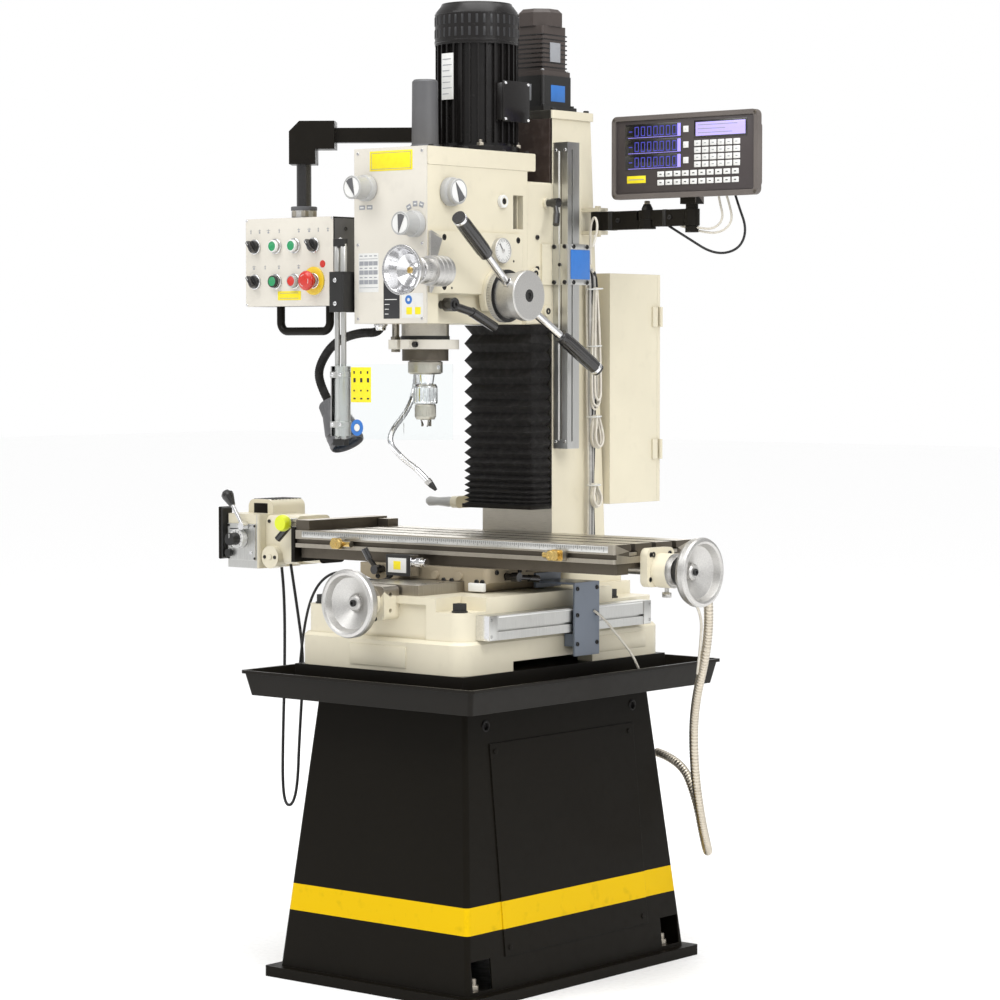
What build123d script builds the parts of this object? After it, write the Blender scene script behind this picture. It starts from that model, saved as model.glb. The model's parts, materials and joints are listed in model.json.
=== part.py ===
"""Column milling-drilling machine on a cabinet stand, one solid per sub-part, in millimetres.

Frame: origin at the centre of the stand's foot on the floor, +X to the operator's right,
+Y from the operator towards the column, +Z up.
"""
import os
from math import atan2, cos, degrees, radians, sin

from build123d import *

# ---- stand, tray and base ----
FOOT_X, FOOT_Y, FOOT_T = 260.0, 352.0, 20.0
ANCHOR_X, ANCHOR_Y, ANCHOR_R = 212.0, 290.0, 8.0
STAND_BOTTOM_X, STAND_BOTTOM_Y = 237.0, 333.0
STAND_TOP_X, STAND_TOP_Y, STAND_TOP_Z = 185.0, 280.0, 543.0
STAND_WALL = 3.0
TRAY_X, TRAY_Y, TRAY_RIM_Z, TRAY_INSET, TRAY_WALL = 286.0, 382.0, 591.0, 10.0, 3.0
PLINTH_X, PLINTH_Y, PLINTH_Z = 210.0, 310.0, 604.0
BASE_X, BASE_Y0, BASE_Y1 = 206.0, -313.0, 300.0
BASE_LEDGE_Z, BASE_PAD_Z, BASE_DECK_Z = 666.0, 719.0, 745.0
BOLT_X, BOLT_Y0, BOLT_Y1 = 171.0, -278.0, 177.0
WAY_X, WAY_Y0, WAY_Y1, WAY_Z = 80.0, -290.0, 90.0, 765.0

# ---- column, drive and cabinet ----
COL_X, COL_Y, COL_REAR_LOW, COL_REAR_TOP = 88.0, 97.5, 271.0, 218.0
COL_TOP_Z, COL_PLATE_Z, COL_WALL = 1652.0, 1668.0, 14.0
DRIVE_Y = 168.0
CAB_X0, CAB_X1, CAB_Y0, CAB_Y1, CAB_Z0, CAB_Z1 = -147.0, 103.0, 263.0, 419.0, 897.0, 1355.0
DOOR_T = 12.0
Z_SCALE = (88.5, 125.0, 100.0, 136.0, 1011.0, 1605.0)
Y_SCALE = (196.3, 229.0, -262.0, 230.0, 668.0, 714.0)

# ---- saddle and table ----
SADDLE_X0, SADDLE_X1, SADDLE_Y0, SADDLE_Y1 = -190.0, 136.0, -158.0, 72.0
TABLE_X0, TABLE_X1, TABLE_Y0, TABLE_Y1 = -370.0, 430.0, -148.0, 92.0
TABLE_Z0, TABLE_MID_Z, TABLE_TOP_Z, PLATE_Z = 791.0, 812.0, 847.0, 846.2
SCREW_Y, SCREW_Z, SCREW_R = -28.0, 796.0, 10.0
SLOT_PITCH, SLOT_W, SLOT_BASE_W = 63.0, 14.0, 25.0
WHEEL_R, WHEEL_T = 64.0, 22.0
CROSS_Y, CROSS_Z = -403.0, 734.0

# ---- head ----
HEAD_X, HEAD_Y0, HEAD_Y1, HEAD_Z0, HEAD_Z1, HEAD_TOP = 90.0, -274.0, 19.0, 1252.0, 1546.0, 1580.0
SLIDE_Y1, SLIDE_TOP = 97.0, 1527.0
SPINDLE_Y = -177.0
MOTOR_Y, MOTOR_R = -24.7, 80.0
HUB_Y, HUB_Z, LEVER_LENGTH, LEVER_ANGLE, LEVER_LEAN = -72.0, 1305.0, 252.0, 146.0, 7.0
FEED_X, FEED_Z = 116.0, 1348.0
QUILL_R, FIT = 45.0, 0.05

# ---- pendant, display and accessories ----
ARM_PIVOT = (-72.0, -92.0)
TUBE_AT = (-263.0, -231.0)
ARM_Z = 1616.0
BOX = (-387.0, -155.0, -265.0, -198.0, 1287.0, 1457.0)
BUTTON_TOP_Z, BUTTON_LOW_Z = 1403.0, 1335.0
BUTTON_X = (-361.0, -305.0, -255.0, -205.0)
DRO_PIVOT, DRO_KNUCKLE, DRO_TIP = (118.0, 204.0), (239.0, 204.0), (346.0, 204.0)
DRO_Z0, DRO_Z1 = 1437.0, 1473.0
CONSOLE = (174.0, 518.0, 175.0, 225.0, 1494.0, 1654.0)
GUARD_X, GUARD_Y = -113.0, -291.0
BELLOWS_Z0, BELLOWS_Z1, BELLOWS_FOLDS = 901.0, 1251.5, 17


def block(x0, x1, y0, y1, z0, z1):
    """Box between two corners."""
    centre = ((x0 + x1) / 2, (y0 + y1) / 2, (z0 + z1) / 2)
    return Pos(*centre) * Box(x1 - x0, y1 - y0, z1 - z0)


def soft_block(x0, x1, y0, y1, z0, z1, radius, axis=Axis.Z):
    """Box whose edges along one axis are rounded."""
    body = block(x0, x1, y0, y1, z0, z1)
    return fillet(body.edges().filter_by(axis), radius)


def rod_x(radius, x0, x1, y, z):
    return Pos((x0 + x1) / 2, y, z) * Rot(0, 90, 0) * Cylinder(radius, x1 - x0)


def rod_y(radius, y0, y1, x, z):
    return Pos(x, (y0 + y1) / 2, z) * Rot(90, 0, 0) * Cylinder(radius, y1 - y0)


def rod_z(radius, z0, z1, x, y):
    return Pos(x, y, (z0 + z1) / 2) * Cylinder(radius, z1 - z0)


def frustum(x0, y0, z0, x1, y1, z1, radius):
    """Tapered box between two centred rounded rectangles."""
    low = Pos(0, 0, z0) * RectangleRounded(2 * x0, 2 * y0, radius)
    high = Pos(0, 0, z1) * RectangleRounded(2 * x1, 2 * y1, radius)
    return loft([low, high])


def bar(start, end, radius):
    """Round bar from one point to another."""
    run = Vector(*end) - Vector(*start)
    plane = Plane(origin=start, z_dir=run)
    return extrude(plane * Circle(radius), run.length)


def turned(points):
    """Solid of revolution about local Z from (radius, z) points."""
    outline = make_face(Plane.XZ * Polyline(*points, close=True))
    return revolve(outline, Axis.Z)


def tube_along(points, bend, radius):
    """Round tube along straight runs joined by arcs."""
    path = FilletPolyline(*points, radius=bend)
    return sweep(Plane(path @ 0, z_dir=path % 0) * Circle(radius), path=path)


# ---------------------------------------------------------------- stand, tray and base
def stand():
    """Foot plate with anchor holes, the tapered cabinet welded on it, and its service panel."""
    foot = soft_block(-FOOT_X, FOOT_X, -FOOT_Y, FOOT_Y, 0, FOOT_T, 6)
    outer = frustum(STAND_BOTTOM_X, STAND_BOTTOM_Y, FOOT_T, STAND_TOP_X, STAND_TOP_Y, STAND_TOP_Z, 9)
    w = STAND_WALL
    inner = frustum(STAND_BOTTOM_X - w, STAND_BOTTOM_Y - w, FOOT_T,
                    STAND_TOP_X - w, STAND_TOP_Y - w, STAND_TOP_Z - w, 6)
    shell = outer - inner - block(-90, 90, -160, 160, STAND_TOP_Z - 10, STAND_TOP_Z + 1)
    for side in (-1, 1):
        for end in (-1, 1):
            x0, x1 = sorted((side * 172, side * 260))
            y0, y1 = sorted((end * 262, end * 318))
            shell -= block(x0, x1, y0, y1, FOOT_T + 6, FOOT_T + 62)
            foot -= rod_z(ANCHOR_R, -1, FOOT_T + 1, side * ANCHOR_X, end * ANCHOR_Y)
        for end in (-1, 1):
            x0, x1 = sorted((side * 150, side * 250))
            shell -= rod_x(9, x0, x1, end * 225, 505)
    return Compound([foot + shell, stand_panel()])


def stand_panel():
    """Screwed service panel on the stand's right side, following its slope."""
    lean = degrees(atan2(STAND_BOTTOM_X - STAND_TOP_X, STAND_TOP_Z - FOOT_T))
    height = 395.0
    panel = Box(2.0, 440.0, height)
    for y in (-205, 205):
        for z in (-182, 182):
            panel += Pos(1.5, y, z) * Rot(0, 90, 0) * Cylinder(5, 3)
    mid_z = 275.0
    mid_x = STAND_BOTTOM_X - (mid_z - FOOT_T) * (STAND_BOTTOM_X - STAND_TOP_X) / (STAND_TOP_Z - FOOT_T)
    return Pos(mid_x + 1.3, 0, mid_z) * Rot(0, -lean, 0) * panel


def chip_tray():
    """Splayed pan with a raised hollow plinth for the machine's base."""
    low = (TRAY_X - TRAY_INSET, TRAY_Y - TRAY_INSET, STAND_TOP_Z)
    outer = frustum(*low, TRAY_X, TRAY_Y, TRAY_RIM_Z, 8)
    w = TRAY_WALL
    inner = frustum(low[0] - w, low[1] - w, STAND_TOP_Z + w, TRAY_X - w, TRAY_Y - w, TRAY_RIM_Z + 0.01, 6)
    pan = outer - inner
    lip = soft_block(-TRAY_X - 4, TRAY_X + 4, -TRAY_Y - 4, TRAY_Y + 4, TRAY_RIM_Z - 6, TRAY_RIM_Z, 10)
    pan += lip - soft_block(-TRAY_X + w, TRAY_X - w, -TRAY_Y + w, TRAY_Y - w,
                            TRAY_RIM_Z - 7, TRAY_RIM_Z + 1, 7)
    plinth = block(-PLINTH_X, PLINTH_X, -PLINTH_Y - 6, PLINTH_Y - 6, STAND_TOP_Z, PLINTH_Z)
    hollow = block(-PLINTH_X + 8, PLINTH_X - 8, -PLINTH_Y + 2, PLINTH_Y - 14,
                   STAND_TOP_Z - 1, PLINTH_Z - 10)
    return pan + plinth - hollow


def base_casting():
    """Cast base: wide foot, stepped body with corner pads, flat cross ways on top."""
    foot = soft_block(-BASE_X, BASE_X, BASE_Y0, BASE_Y1, PLINTH_Z, BASE_LEDGE_Z, 32)
    foot = chamfer(foot.faces().sort_by(Axis.Z)[-1].edges(), 6)
    body = soft_block(-BASE_X + 10, BASE_X - 10, BASE_Y0 + 10, BASE_Y1 - 10, BASE_LEDGE_Z, BASE_DECK_Z, 26)
    for side in (-1, 1):
        for y0, y1 in ((BASE_Y0, BASE_Y0 + 82), (BASE_Y1 - 150, BASE_Y1)):
            x0, x1 = sorted((side * 134, side * 210))
            body -= block(x0, x1, y0, y1, BASE_PAD_Z, BASE_DECK_Z + 1)
    body -= block(-110, 110, BASE_Y0, BASE_Y0 + 18, BASE_LEDGE_Z, BASE_DECK_Z - 14)
    body += block(-WAY_X, WAY_X, WAY_Y0, WAY_Y1, BASE_DECK_Z, WAY_Z)
    base = foot + body
    base -= block(-170, 170, BASE_Y0 + 45, BASE_Y1 - 45, PLINTH_Z - 1, 700)
    base -= block(-BASE_X - 1, BASE_X + 1, -165, 75, PLINTH_Z - 1, PLINTH_Z + 18)
    base -= rod_y(11 + FIT, BASE_Y0 - 1, -230, 0, CROSS_Z)
    for x in (-BOLT_X, BOLT_X):
        for y in (BOLT_Y0, BOLT_Y1):
            base -= rod_z(8.2, 680, BASE_PAD_Z + 1, x, y)
    return base


def base_bolts():
    """Four square-headed hold-down bolts on the base's corner pads."""
    bolts = []
    for x in (-BOLT_X, BOLT_X):
        for y in (BOLT_Y0, BOLT_Y1):
            washer = rod_z(15, BASE_PAD_Z, BASE_PAD_Z + 3, x, y)
            head = block(x - 9, x + 9, y - 9, y + 9, BASE_PAD_Z + 3, BASE_PAD_Z + 17)
            bolts.append(washer + head + rod_z(8, 682, BASE_PAD_Z, x, y))
    return Compound(bolts)


def cross_bracket():
    """Bearing block of the cross-feed screw, bolted to the front of the base."""
    y1 = BASE_Y0 + 18
    body = soft_block(-37, 37, y1 - 42, y1, CROSS_Z - 34, CROSS_Z + 30, 10, Axis.Y)
    body += rod_y(29, y1 - 54, y1 - 42, 0, CROSS_Z)
    body -= rod_y(11 + FIT, y1 - 63, y1 + 1, 0, CROSS_Z)
    for z in (CROSS_Z + 14, CROSS_Z - 16):
        body -= rod_x(4, 24, 38, y1 - 24, z)
    return body


def handwheel():
    """Dished handwheel about local Z, its rim face at z = 0 and its dial behind the hub."""
    r, t = WHEEL_R, WHEEL_T
    dish = [(0, -34), (0, -22), (12, -22), (15, -25), (15, -31), (48, -15), (53, -2), (57, 0),
            (r - 2, -2), (r, -6), (r, -t + 6), (r - 3, -t), (r - 10, -t), (r - 13, -t + 3),
            (18, -38), (18, -34)]
    wheel = turned(dish)
    wheel -= Pos(47 * cos(radians(-52)), 47 * sin(radians(-52)), -15) * Cylinder(4, 40)
    wheel -= Pos(0, 0, -23) * Cylinder(5, 4)
    dial = Pos(0, 0, -44) * Cylinder(27, 15)
    return wheel + dial


def y_handwheel():
    """Cross-feed handwheel with its dial and shaft."""
    wheel = Pos(0, CROSS_Y, CROSS_Z) * Rot(90, 0, 0) * handwheel()
    return wheel + rod_y(11, CROSS_Y + 30, -235, 0, CROSS_Z)


# ---------------------------------------------------------------- column and cabinet
def column_outline(inset=0.0, z0=BASE_DECK_Z, z1=COL_TOP_Z):
    """Column body, its rear face leaning in towards the top."""
    def section(z):
        t = (z - BASE_DECK_Z) / (COL_TOP_Z - BASE_DECK_Z)
        rear = COL_REAR_LOW + (COL_REAR_TOP - COL_REAR_LOW) * t - inset
        front = COL_Y + inset
        shape = Rectangle(2 * (COL_X - inset), rear - front)
        return Pos(0, (rear + front) / 2, z) * shape
    return loft([section(z0), section(z1)])


def column():
    """Hollow cast column with its foot flange, top cap and display bracket."""
    body = column_outline() - column_outline(COL_WALL, BASE_DECK_Z, COL_TOP_Z)
    body += soft_block(-122, 122, COL_Y, 288, BASE_DECK_Z, BASE_DECK_Z + 26, 18)
    body -= column_outline(COL_WALL, BASE_DECK_Z, BASE_DECK_Z + 40)
    cap = soft_block(-COL_X - 5, COL_X + 5, COL_Y - 4, COL_REAR_TOP + 8, COL_TOP_Z, COL_PLATE_Z, 8)
    body += cap - rod_z(24, COL_TOP_Z - 1, COL_PLATE_Z + 1, 0, DRIVE_Y)
    body -= rod_x(9 + FIT, -COL_X - 1, -60, 150, 899)
    body += rod_x(20, -COL_X - 12, -COL_X, 150, 899) - rod_x(9 + FIT, -COL_X - 13, -COL_X + 1, 150, 899)
    x, y = DRO_PIVOT
    fork = block(COL_X - 2, x + 14, y - 14, y + 14, DRO_Z0 - 8, DRO_Z0 - 0.5)
    fork += block(COL_X - 2, x + 14, y - 14, y + 14, DRO_Z1 + 0.5, DRO_Z1 + 8)
    fork += rod_z(6, DRO_Z0 - 12, DRO_Z1 + 12, x, y)
    return body + fork


def z_drive():
    """Elevating motor on its gearbox, on the column's cap."""
    gear = soft_block(-46, 46, DRIVE_Y - 46, DRIVE_Y + 46, COL_PLATE_Z, COL_PLATE_Z + 72, 8)
    gear += block(-52, 52, DRIVE_Y - 52, DRIVE_Y + 52, COL_PLATE_Z, COL_PLATE_Z + 12)
    z = COL_PLATE_Z + 72
    body = soft_block(-38, 38, DRIVE_Y - 38, DRIVE_Y + 38, z, z + 98, 7)
    flange = soft_block(-44, 44, DRIVE_Y - 44, DRIVE_Y + 44, z, z + 10, 5)
    cap = Pos(0, DRIVE_Y, z + 98) * extrude(RegularPolygon(46, 8, rotation=22.5), 34)
    cap = chamfer(cap.faces().sort_by(Axis.Z)[-1].edges(), 8)
    return gear + body + flange + cap


def z_crank():
    """Hand crank of the elevating screw, on the column's left side."""
    y, z = 150.0, 899.0
    shaft = rod_x(9, -160, -64, y, z)
    arm = soft_block(-166, -150, y - 62, y + 15, z - 12, z + 12, 11, Axis.X)
    grip = turned([(0, 0), (9, 0), (10.5, 12), (8.5, 40), (10, 62), (7, 68), (0, 68)])
    return shaft + arm + Pos(-166, y - 50, z) * Rot(0, -90, 0) * grip


def electric_cabinet():
    """Sheet-steel cabinet behind the column, open at the back where its door closes."""
    box = block(CAB_X0, CAB_X1, CAB_Y0, CAB_Y1, CAB_Z0, CAB_Z1)
    box -= block(CAB_X0 + 2, CAB_X1 - 2, CAB_Y0 + 2, CAB_Y1 + 1, CAB_Z0 + 2, CAB_Z1 - 2)
    for z in (CAB_Z0 + 40, CAB_Z1 - 60):
        box += block(-45, 45, 215, CAB_Y0 + 1, z, z + 24)
    box -= column_outline()
    for z in (1003, 1270):
        box += block(CAB_X1 - 1, CAB_X1 + 4, CAB_Y1 - 18, CAB_Y1 - 2, z - 20, z + 20)
    return box


def cabinet_door():
    """Rear door with a turned-in edge, hinged on its right."""
    y0 = CAB_Y1 + 0.5
    door = soft_block(CAB_X0, CAB_X1, y0, y0 + DOOR_T, CAB_Z0, CAB_Z1, 3, Axis.Z)
    door -= block(CAB_X0 + 3, CAB_X1 - 3, y0 - 1, y0 + DOOR_T - 2, CAB_Z0 + 3, CAB_Z1 - 3)
    for z in (1003, 1270):
        door += rod_z(4, z - 20, z + 20, CAB_X1 + 5.5, y0 + 5)
        door += block(CAB_X1 - 2, CAB_X1 + 5, y0 + 2, y0 + 8, z - 20, z + 20)
    door += rod_y(11, y0 + DOOR_T - 2, y0 + DOOR_T + 6, CAB_X0 + 24, (CAB_Z0 + CAB_Z1) / 2)
    return door


def dro_scales():
    """Covered linear scales: one up the column's right side, one along the base."""
    upright = block(*Z_SCALE)
    upright -= block(Z_SCALE[1] - 6, Z_SCALE[1] + 1, 112, 116, Z_SCALE[4] + 14, Z_SCALE[5] - 14)
    cross = block(*Y_SCALE)
    cross -= block(Y_SCALE[1] - 6, Y_SCALE[1] + 1, Y_SCALE[2] + 14, Y_SCALE[3] - 14, 684, 688)
    return Compound([upright, cross])


# ---------------------------------------------------------------- saddle
def saddle():
    """Cross slide carrying the table, grooved over the base's ways."""
    body = soft_block(SADDLE_X0, SADDLE_X1, SADDLE_Y0, SADDLE_Y1, BASE_DECK_Z + 1, TABLE_Z0 - 0.4, 10)
    side = Plane.XZ * Polyline((SADDLE_X0 - 1, 745), (SADDLE_X0 - 1, 772), (-112, 745), close=True)
    body -= extrude(make_face(side), 200, both=True)
    side = Plane.XZ * Polyline((SADDLE_X1 + 1, 745), (SADDLE_X1 + 1, 765), (112, 745), close=True)
    body -= extrude(make_face(side), 200, both=True)
    body -= block(-WAY_X - 0.4, WAY_X + 0.4, SADDLE_Y0 - 1, SADDLE_Y1 + 1, 740, WAY_Z + 0.4)
    body += block(SADDLE_X0, SADDLE_X1, SCREW_Y - 70, SCREW_Y + 70, TABLE_Z0 - 0.4, TABLE_Z0 + 11)
    body -= block(SADDLE_X0 - 1, SADDLE_X1 + 1, SCREW_Y - 14, SCREW_Y + 14, 780, 812)
    body -= rod_x(8 + FIT, SADDLE_X1 - 20, SADDLE_X1 + 1, -100, 774)
    body -= rod_y(7 + FIT, SADDLE_Y0 - 1, SADDLE_Y0 + 20, -126, 780)
    for x in (10, 70):
        body += rod_y(8, SADDLE_Y0 - 6, SADDLE_Y0, x, 775)
    return body


def saddle_fittings():
    """Travel switch on the saddle's front, and the cross scale's reader on its side."""
    switch = soft_block(-88, -26, SADDLE_Y0 - 36, SADDLE_Y0 - 6, 772, 812, 4, Axis.Z)
    switch += block(-78, -34, SADDLE_Y0 - 7, SADDLE_Y0, 780, 790)
    switch += rod_x(6, -26, -4, SADDLE_Y0 - 20, 798)
    switch += rod_x(9, -20, -12, SADDLE_Y0 - 20, 798)
    plate = block(232, 236, -18, 58, 622, 762) + block(SADDLE_X1, 236, -18, 58, 758, 762)
    plate += block(SADDLE_X1, SADDLE_X1 + 6, -18, 58, 766 - 18, 776)
    reader = block(208, 232, -14, 54, 640, 664)
    return Compound([switch, plate + reader])


def kipp(reach=62.0, stem=16.0):
    """Clamping lever: stem along local +Z, handle rising outwards along local +X."""
    hub = Pos(0, 0, stem + 8) * Cylinder(9, 16)
    arm = bar((4, 0, stem + 9), (reach * 0.55, 0, stem + 20), 5)
    grip = bar((reach * 0.5, 0, stem + 19), (reach, 0, stem + 25), 6.5)
    return hub + arm + grip + Pos(0, 0, stem / 2 - 4) * Cylinder(7, stem + 8)


def saddle_lock():
    return Pos(SADDLE_X1, -100, 774) * Rot(0, 90, 0) * Rot(0, 0, 84) * kipp(46)


def table_lock():
    return Pos(-126, SADDLE_Y0, 780) * Rot(90, 0, 0) * Rot(0, 0, 112) * kipp(44, 10)


# ---------------------------------------------------------------- table
def table():
    """Slotted work table with a grooved front edge."""
    top = block(TABLE_X0, TABLE_X1, TABLE_Y0, TABLE_Y1, TABLE_MID_Z, TABLE_TOP_Z)
    top = chamfer(top.edges().filter_by(Axis.Z), 3)
    low = block(TABLE_X0 + 6, TABLE_X1 - 6, TABLE_Y0 + 14, TABLE_Y1 - 14, TABLE_Z0, TABLE_MID_Z)
    body = top + low
    ends = (TABLE_X0 - 1, TABLE_X1 + 1)
    body -= block(TABLE_X0 - 1, TABLE_X0 + 68, TABLE_Y0 - 1, TABLE_Y1 + 1, PLATE_Z, TABLE_TOP_Z + 1)
    for k in (-1, 0, 1):
        y = SCREW_Y + k * SLOT_PITCH
        body -= block(*ends, y - SLOT_W / 2, y + SLOT_W / 2, TABLE_TOP_Z - 14, TABLE_TOP_Z + 1)
        body -= block(*ends, y - SLOT_BASE_W / 2, y + SLOT_BASE_W / 2, TABLE_TOP_Z - 23, TABLE_TOP_Z - 13)
    body -= block(*ends, TABLE_Y0 - 1, TABLE_Y0 + 7, 820, 829)
    body -= block(*ends, SCREW_Y - 70.4, SCREW_Y + 70.4, TABLE_Z0 - 1, TABLE_Z0 + 11.4)
    body -= block(*ends, SCREW_Y - 14, SCREW_Y + 14, TABLE_Z0 - 1, TABLE_MID_Z + 4)
    return body


def x_bracket():
    """Bearing bracket of the table screw, on the table's right end."""
    x = TABLE_X1
    plate = soft_block(x, x + 16, SCREW_Y - 42, SCREW_Y + 42, 766, 838, 14, Axis.X)
    body = plate + rod_x(32, x + 16, x + 48, SCREW_Y, SCREW_Z) + rod_x(27, x + 48, x + 58, SCREW_Y, SCREW_Z)
    body -= rod_x(SCREW_R + FIT, x - 1, x + 60, SCREW_Y, SCREW_Z)
    for y, z in ((SCREW_Y - 30, 826), (SCREW_Y + 30, 826), (SCREW_Y - 31, 780)):
        body -= rod_x(5, x + 11, x + 17, y, z)
    return body


def x_handwheel():
    """Table handwheel with its dial and the table screw."""
    wheel = Pos(TABLE_X1 + 116, SCREW_Y, SCREW_Z) * Rot(0, 90, 0) * handwheel()
    return wheel + rod_x(SCREW_R, TABLE_X0 - 42, TABLE_X1 + 86, SCREW_Y, SCREW_Z)


def table_plates():
    """Ground plates lying along the table's left end."""
    long_plate = block(TABLE_X0 + 1, TABLE_X0 + 36, TABLE_Y0 + 4, TABLE_Y1 - 4, PLATE_Z, TABLE_TOP_Z + 19)
    short = block(TABLE_X0 + 37, TABLE_X0 + 66, TABLE_Y1 - 34, TABLE_Y1 - 4, PLATE_Z, TABLE_TOP_Z + 15)
    return Compound([long_plate, short])


def stop_dog(x, knob_side):
    """Travel stop clamped in the table's front groove with a knurled screw."""
    y = TABLE_Y0
    body = soft_block(x - 14, x + 14, y - 13, y - 0.4, 814, 835, 4, Axis.Y)
    body += block(x - 12, x + 12, y - 0.5, y + 6.6, 820.4, 828.6)
    body += rod_x(6.5, min(x, x + 34 * knob_side), max(x, x + 34 * knob_side), y - 7.5, 824)
    return body + rod_y(9, y - 22, y - 12, x, 824)


def power_feed():
    """Gear housing, motor and control box of the table power feed."""
    x = TABLE_X0
    plate = block(x - 9, x, TABLE_Y0, 64, 782, 852)
    neck = soft_block(x - 62, x - 9, SCREW_Y - 40, SCREW_Y + 40, 774, 852, 14, Axis.X)
    gear = soft_block(x - 148, x - 62, -78, 26, 770, 868, 16, Axis.X)
    gear += rod_y(23, -92, -60, x - 122, 784)
    box = soft_block(x - 236, x - 146, -100, 28, 760, 870, 7)
    motor = soft_block(x - 222, x - 152, -50, 44, 850, 898, 16, Axis.Y)
    strip = soft_block(x - 246, x - 236, -112, -84, 778, 882, 4, Axis.Y)
    front = block(x - 230, x - 152, -103, -99, 776, 850)
    body = plate + neck + gear + box + motor + strip + front
    body -= rod_x(SCREW_R + FIT, x - 44, x + 1, SCREW_Y, SCREW_Z)
    body -= rod_y(5 + FIT, -104, -80, x - 192, 846 - 26)
    body -= rod_y(4 + FIT, -104, -80, x - 178, 846)
    body += rod_y(8, -112, -103, x - 222, 790)
    return body


def power_feed_dial():
    """Speed dial: pale ring with a dark centre knob."""
    x, z = TABLE_X0 - 192, 820
    return rod_y(19, -118, -104, x, z) + rod_y(12.5, -138, -118, x, z) + rod_y(5, -104, -85, x, z)


def power_feed_lever():
    """Direction lever, leaning to the left, with a tapered knob."""
    x, y, z = TABLE_X0 - 178, -112.0, 846.0
    shaft = bar((x, y, z), (x - 31, y, z + 44), 4)
    knob = turned([(0, 0), (6, 0), (12.5, 22), (12.5, 28), (8, 34), (0, 34)])
    knob = Pos(x - 29, y, z + 41) * Rot(0, -35, 0) * knob
    return shaft + knob + rod_y(8, -119, -104, x, z) + rod_y(4, -104, -85, x, z)


def feed_clamp():
    """Black clamp lever under a yellow guard cap, beside the feed housing."""
    x, z = TABLE_X0 - 66, 856
    stem = rod_y(8, -108, -70, x, z)
    cap = Pos(x, -112, z) * Sphere(17) - block(x - 20, x + 20, -140, -121, z - 20, z + 20)
    arm = bar((x + 2, -96, z - 6), (x - 26, -100, z - 34), 7)
    return stem + cap + arm


# ---------------------------------------------------------------- head
def head_slide():
    """Vertical slide with its flange for the head and the reader bracket."""
    body = soft_block(-COL_X, COL_X, HEAD_Y1, SLIDE_Y1, HEAD_Z0, SLIDE_TOP, 5, Axis.Y)
    body -= block(-60, 60, 60, SLIDE_Y1 + 1, HEAD_Z0 - 1, SLIDE_TOP + 1)
    body += block(COL_X - 0.5, COL_X + 4, 62, SLIDE_Y1, 1329, 1408)
    body += block(COL_X, 132, SLIDE_Y1 - 4, SLIDE_Y1, 1329, 1408)
    body += block(128, 132, SLIDE_Y1 - 1, 160, 1329, 1408)
    for y, z in ((78, 1487), (40, 1350), (78, 1278)):
        body += rod_x(11, COL_X - 1, COL_X + 6, y, z)
    body -= rod_x(7 + FIT, COL_X - 26, COL_X + 7, 78, 1487)
    return body


def slide_clamp():
    return Pos(COL_X + 6.3, 78, 1487) * Rot(0, 90, 0) * Rot(0, 0, -25) * kipp(48, 10)


def head_casting():
    """Gear head casting, hollow behind the spindle, with its lid."""
    body = block(-HEAD_X, HEAD_X, HEAD_Y0, HEAD_Y1, HEAD_Z0, HEAD_Z1)
    body -= block(HEAD_X - 12, HEAD_X + 1, HEAD_Y0 + 30, HEAD_Y1 + 1, HEAD_Z0 - 1, 1306)
    body -= block(HEAD_X - 14, HEAD_X + 1, -24, 6, 1434, 1498)
    lid = soft_block(-HEAD_X - 1, HEAD_X + 1, HEAD_Y0, 42.7, HEAD_Z1, HEAD_TOP, 4, Axis.X)
    body += lid
    body -= block(-76, 76, -118, 4, 1290, HEAD_TOP - 12)
    body -= rod_z(QUILL_R + FIT, HEAD_Z0 - 1, 1420, 0, SPINDLE_Y)
    body -= rod_z(7 + FIT, HEAD_Z0 - 1, 1400, -58, -196)
    body -= rod_x(15 + FIT, 60, HEAD_X + 1, HUB_Y, HUB_Z)
    body -= rod_x(8 + FIT, 60, HEAD_X + 1, -222, 1287)
    body -= rod_x(6 + FIT, 70, HEAD_X + 1, -213, 1497)
    body -= rod_y(6 + FIT, HEAD_Y0 - 1, -250, -56, 1506) + rod_y(6 + FIT, HEAD_Y0 - 1, -250, 64, 1436)
    body -= rod_z(14 + FIT, HEAD_TOP - 11, HEAD_TOP + 1, *ARM_PIVOT)
    body += rod_x(12, HEAD_X - 1, HEAD_X + 7, -59, 1485)
    body -= rod_x(6, HEAD_X + 1, HEAD_X + 8, -59, 1485)
    return body


def front_panel():
    """Sheet panel over the head's front with its corner screws."""
    panel = block(-HEAD_X, HEAD_X, HEAD_Y0 - 3, HEAD_Y0 - 0.05, HEAD_Z0, HEAD_TOP)
    for x in (-80, 80):
        for z in (HEAD_Z0 + 9, 1400, HEAD_TOP - 9):
            panel += rod_y(3, HEAD_Y0 - 4.5, HEAD_Y0 - 2, x, z)
    panel -= rod_y(6 + FIT, HEAD_Y0 - 5, HEAD_Y0 + 1, -56, 1506)
    return panel - rod_y(6 + FIT, HEAD_Y0 - 5, HEAD_Y0 + 1, 64, 1436)


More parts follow.
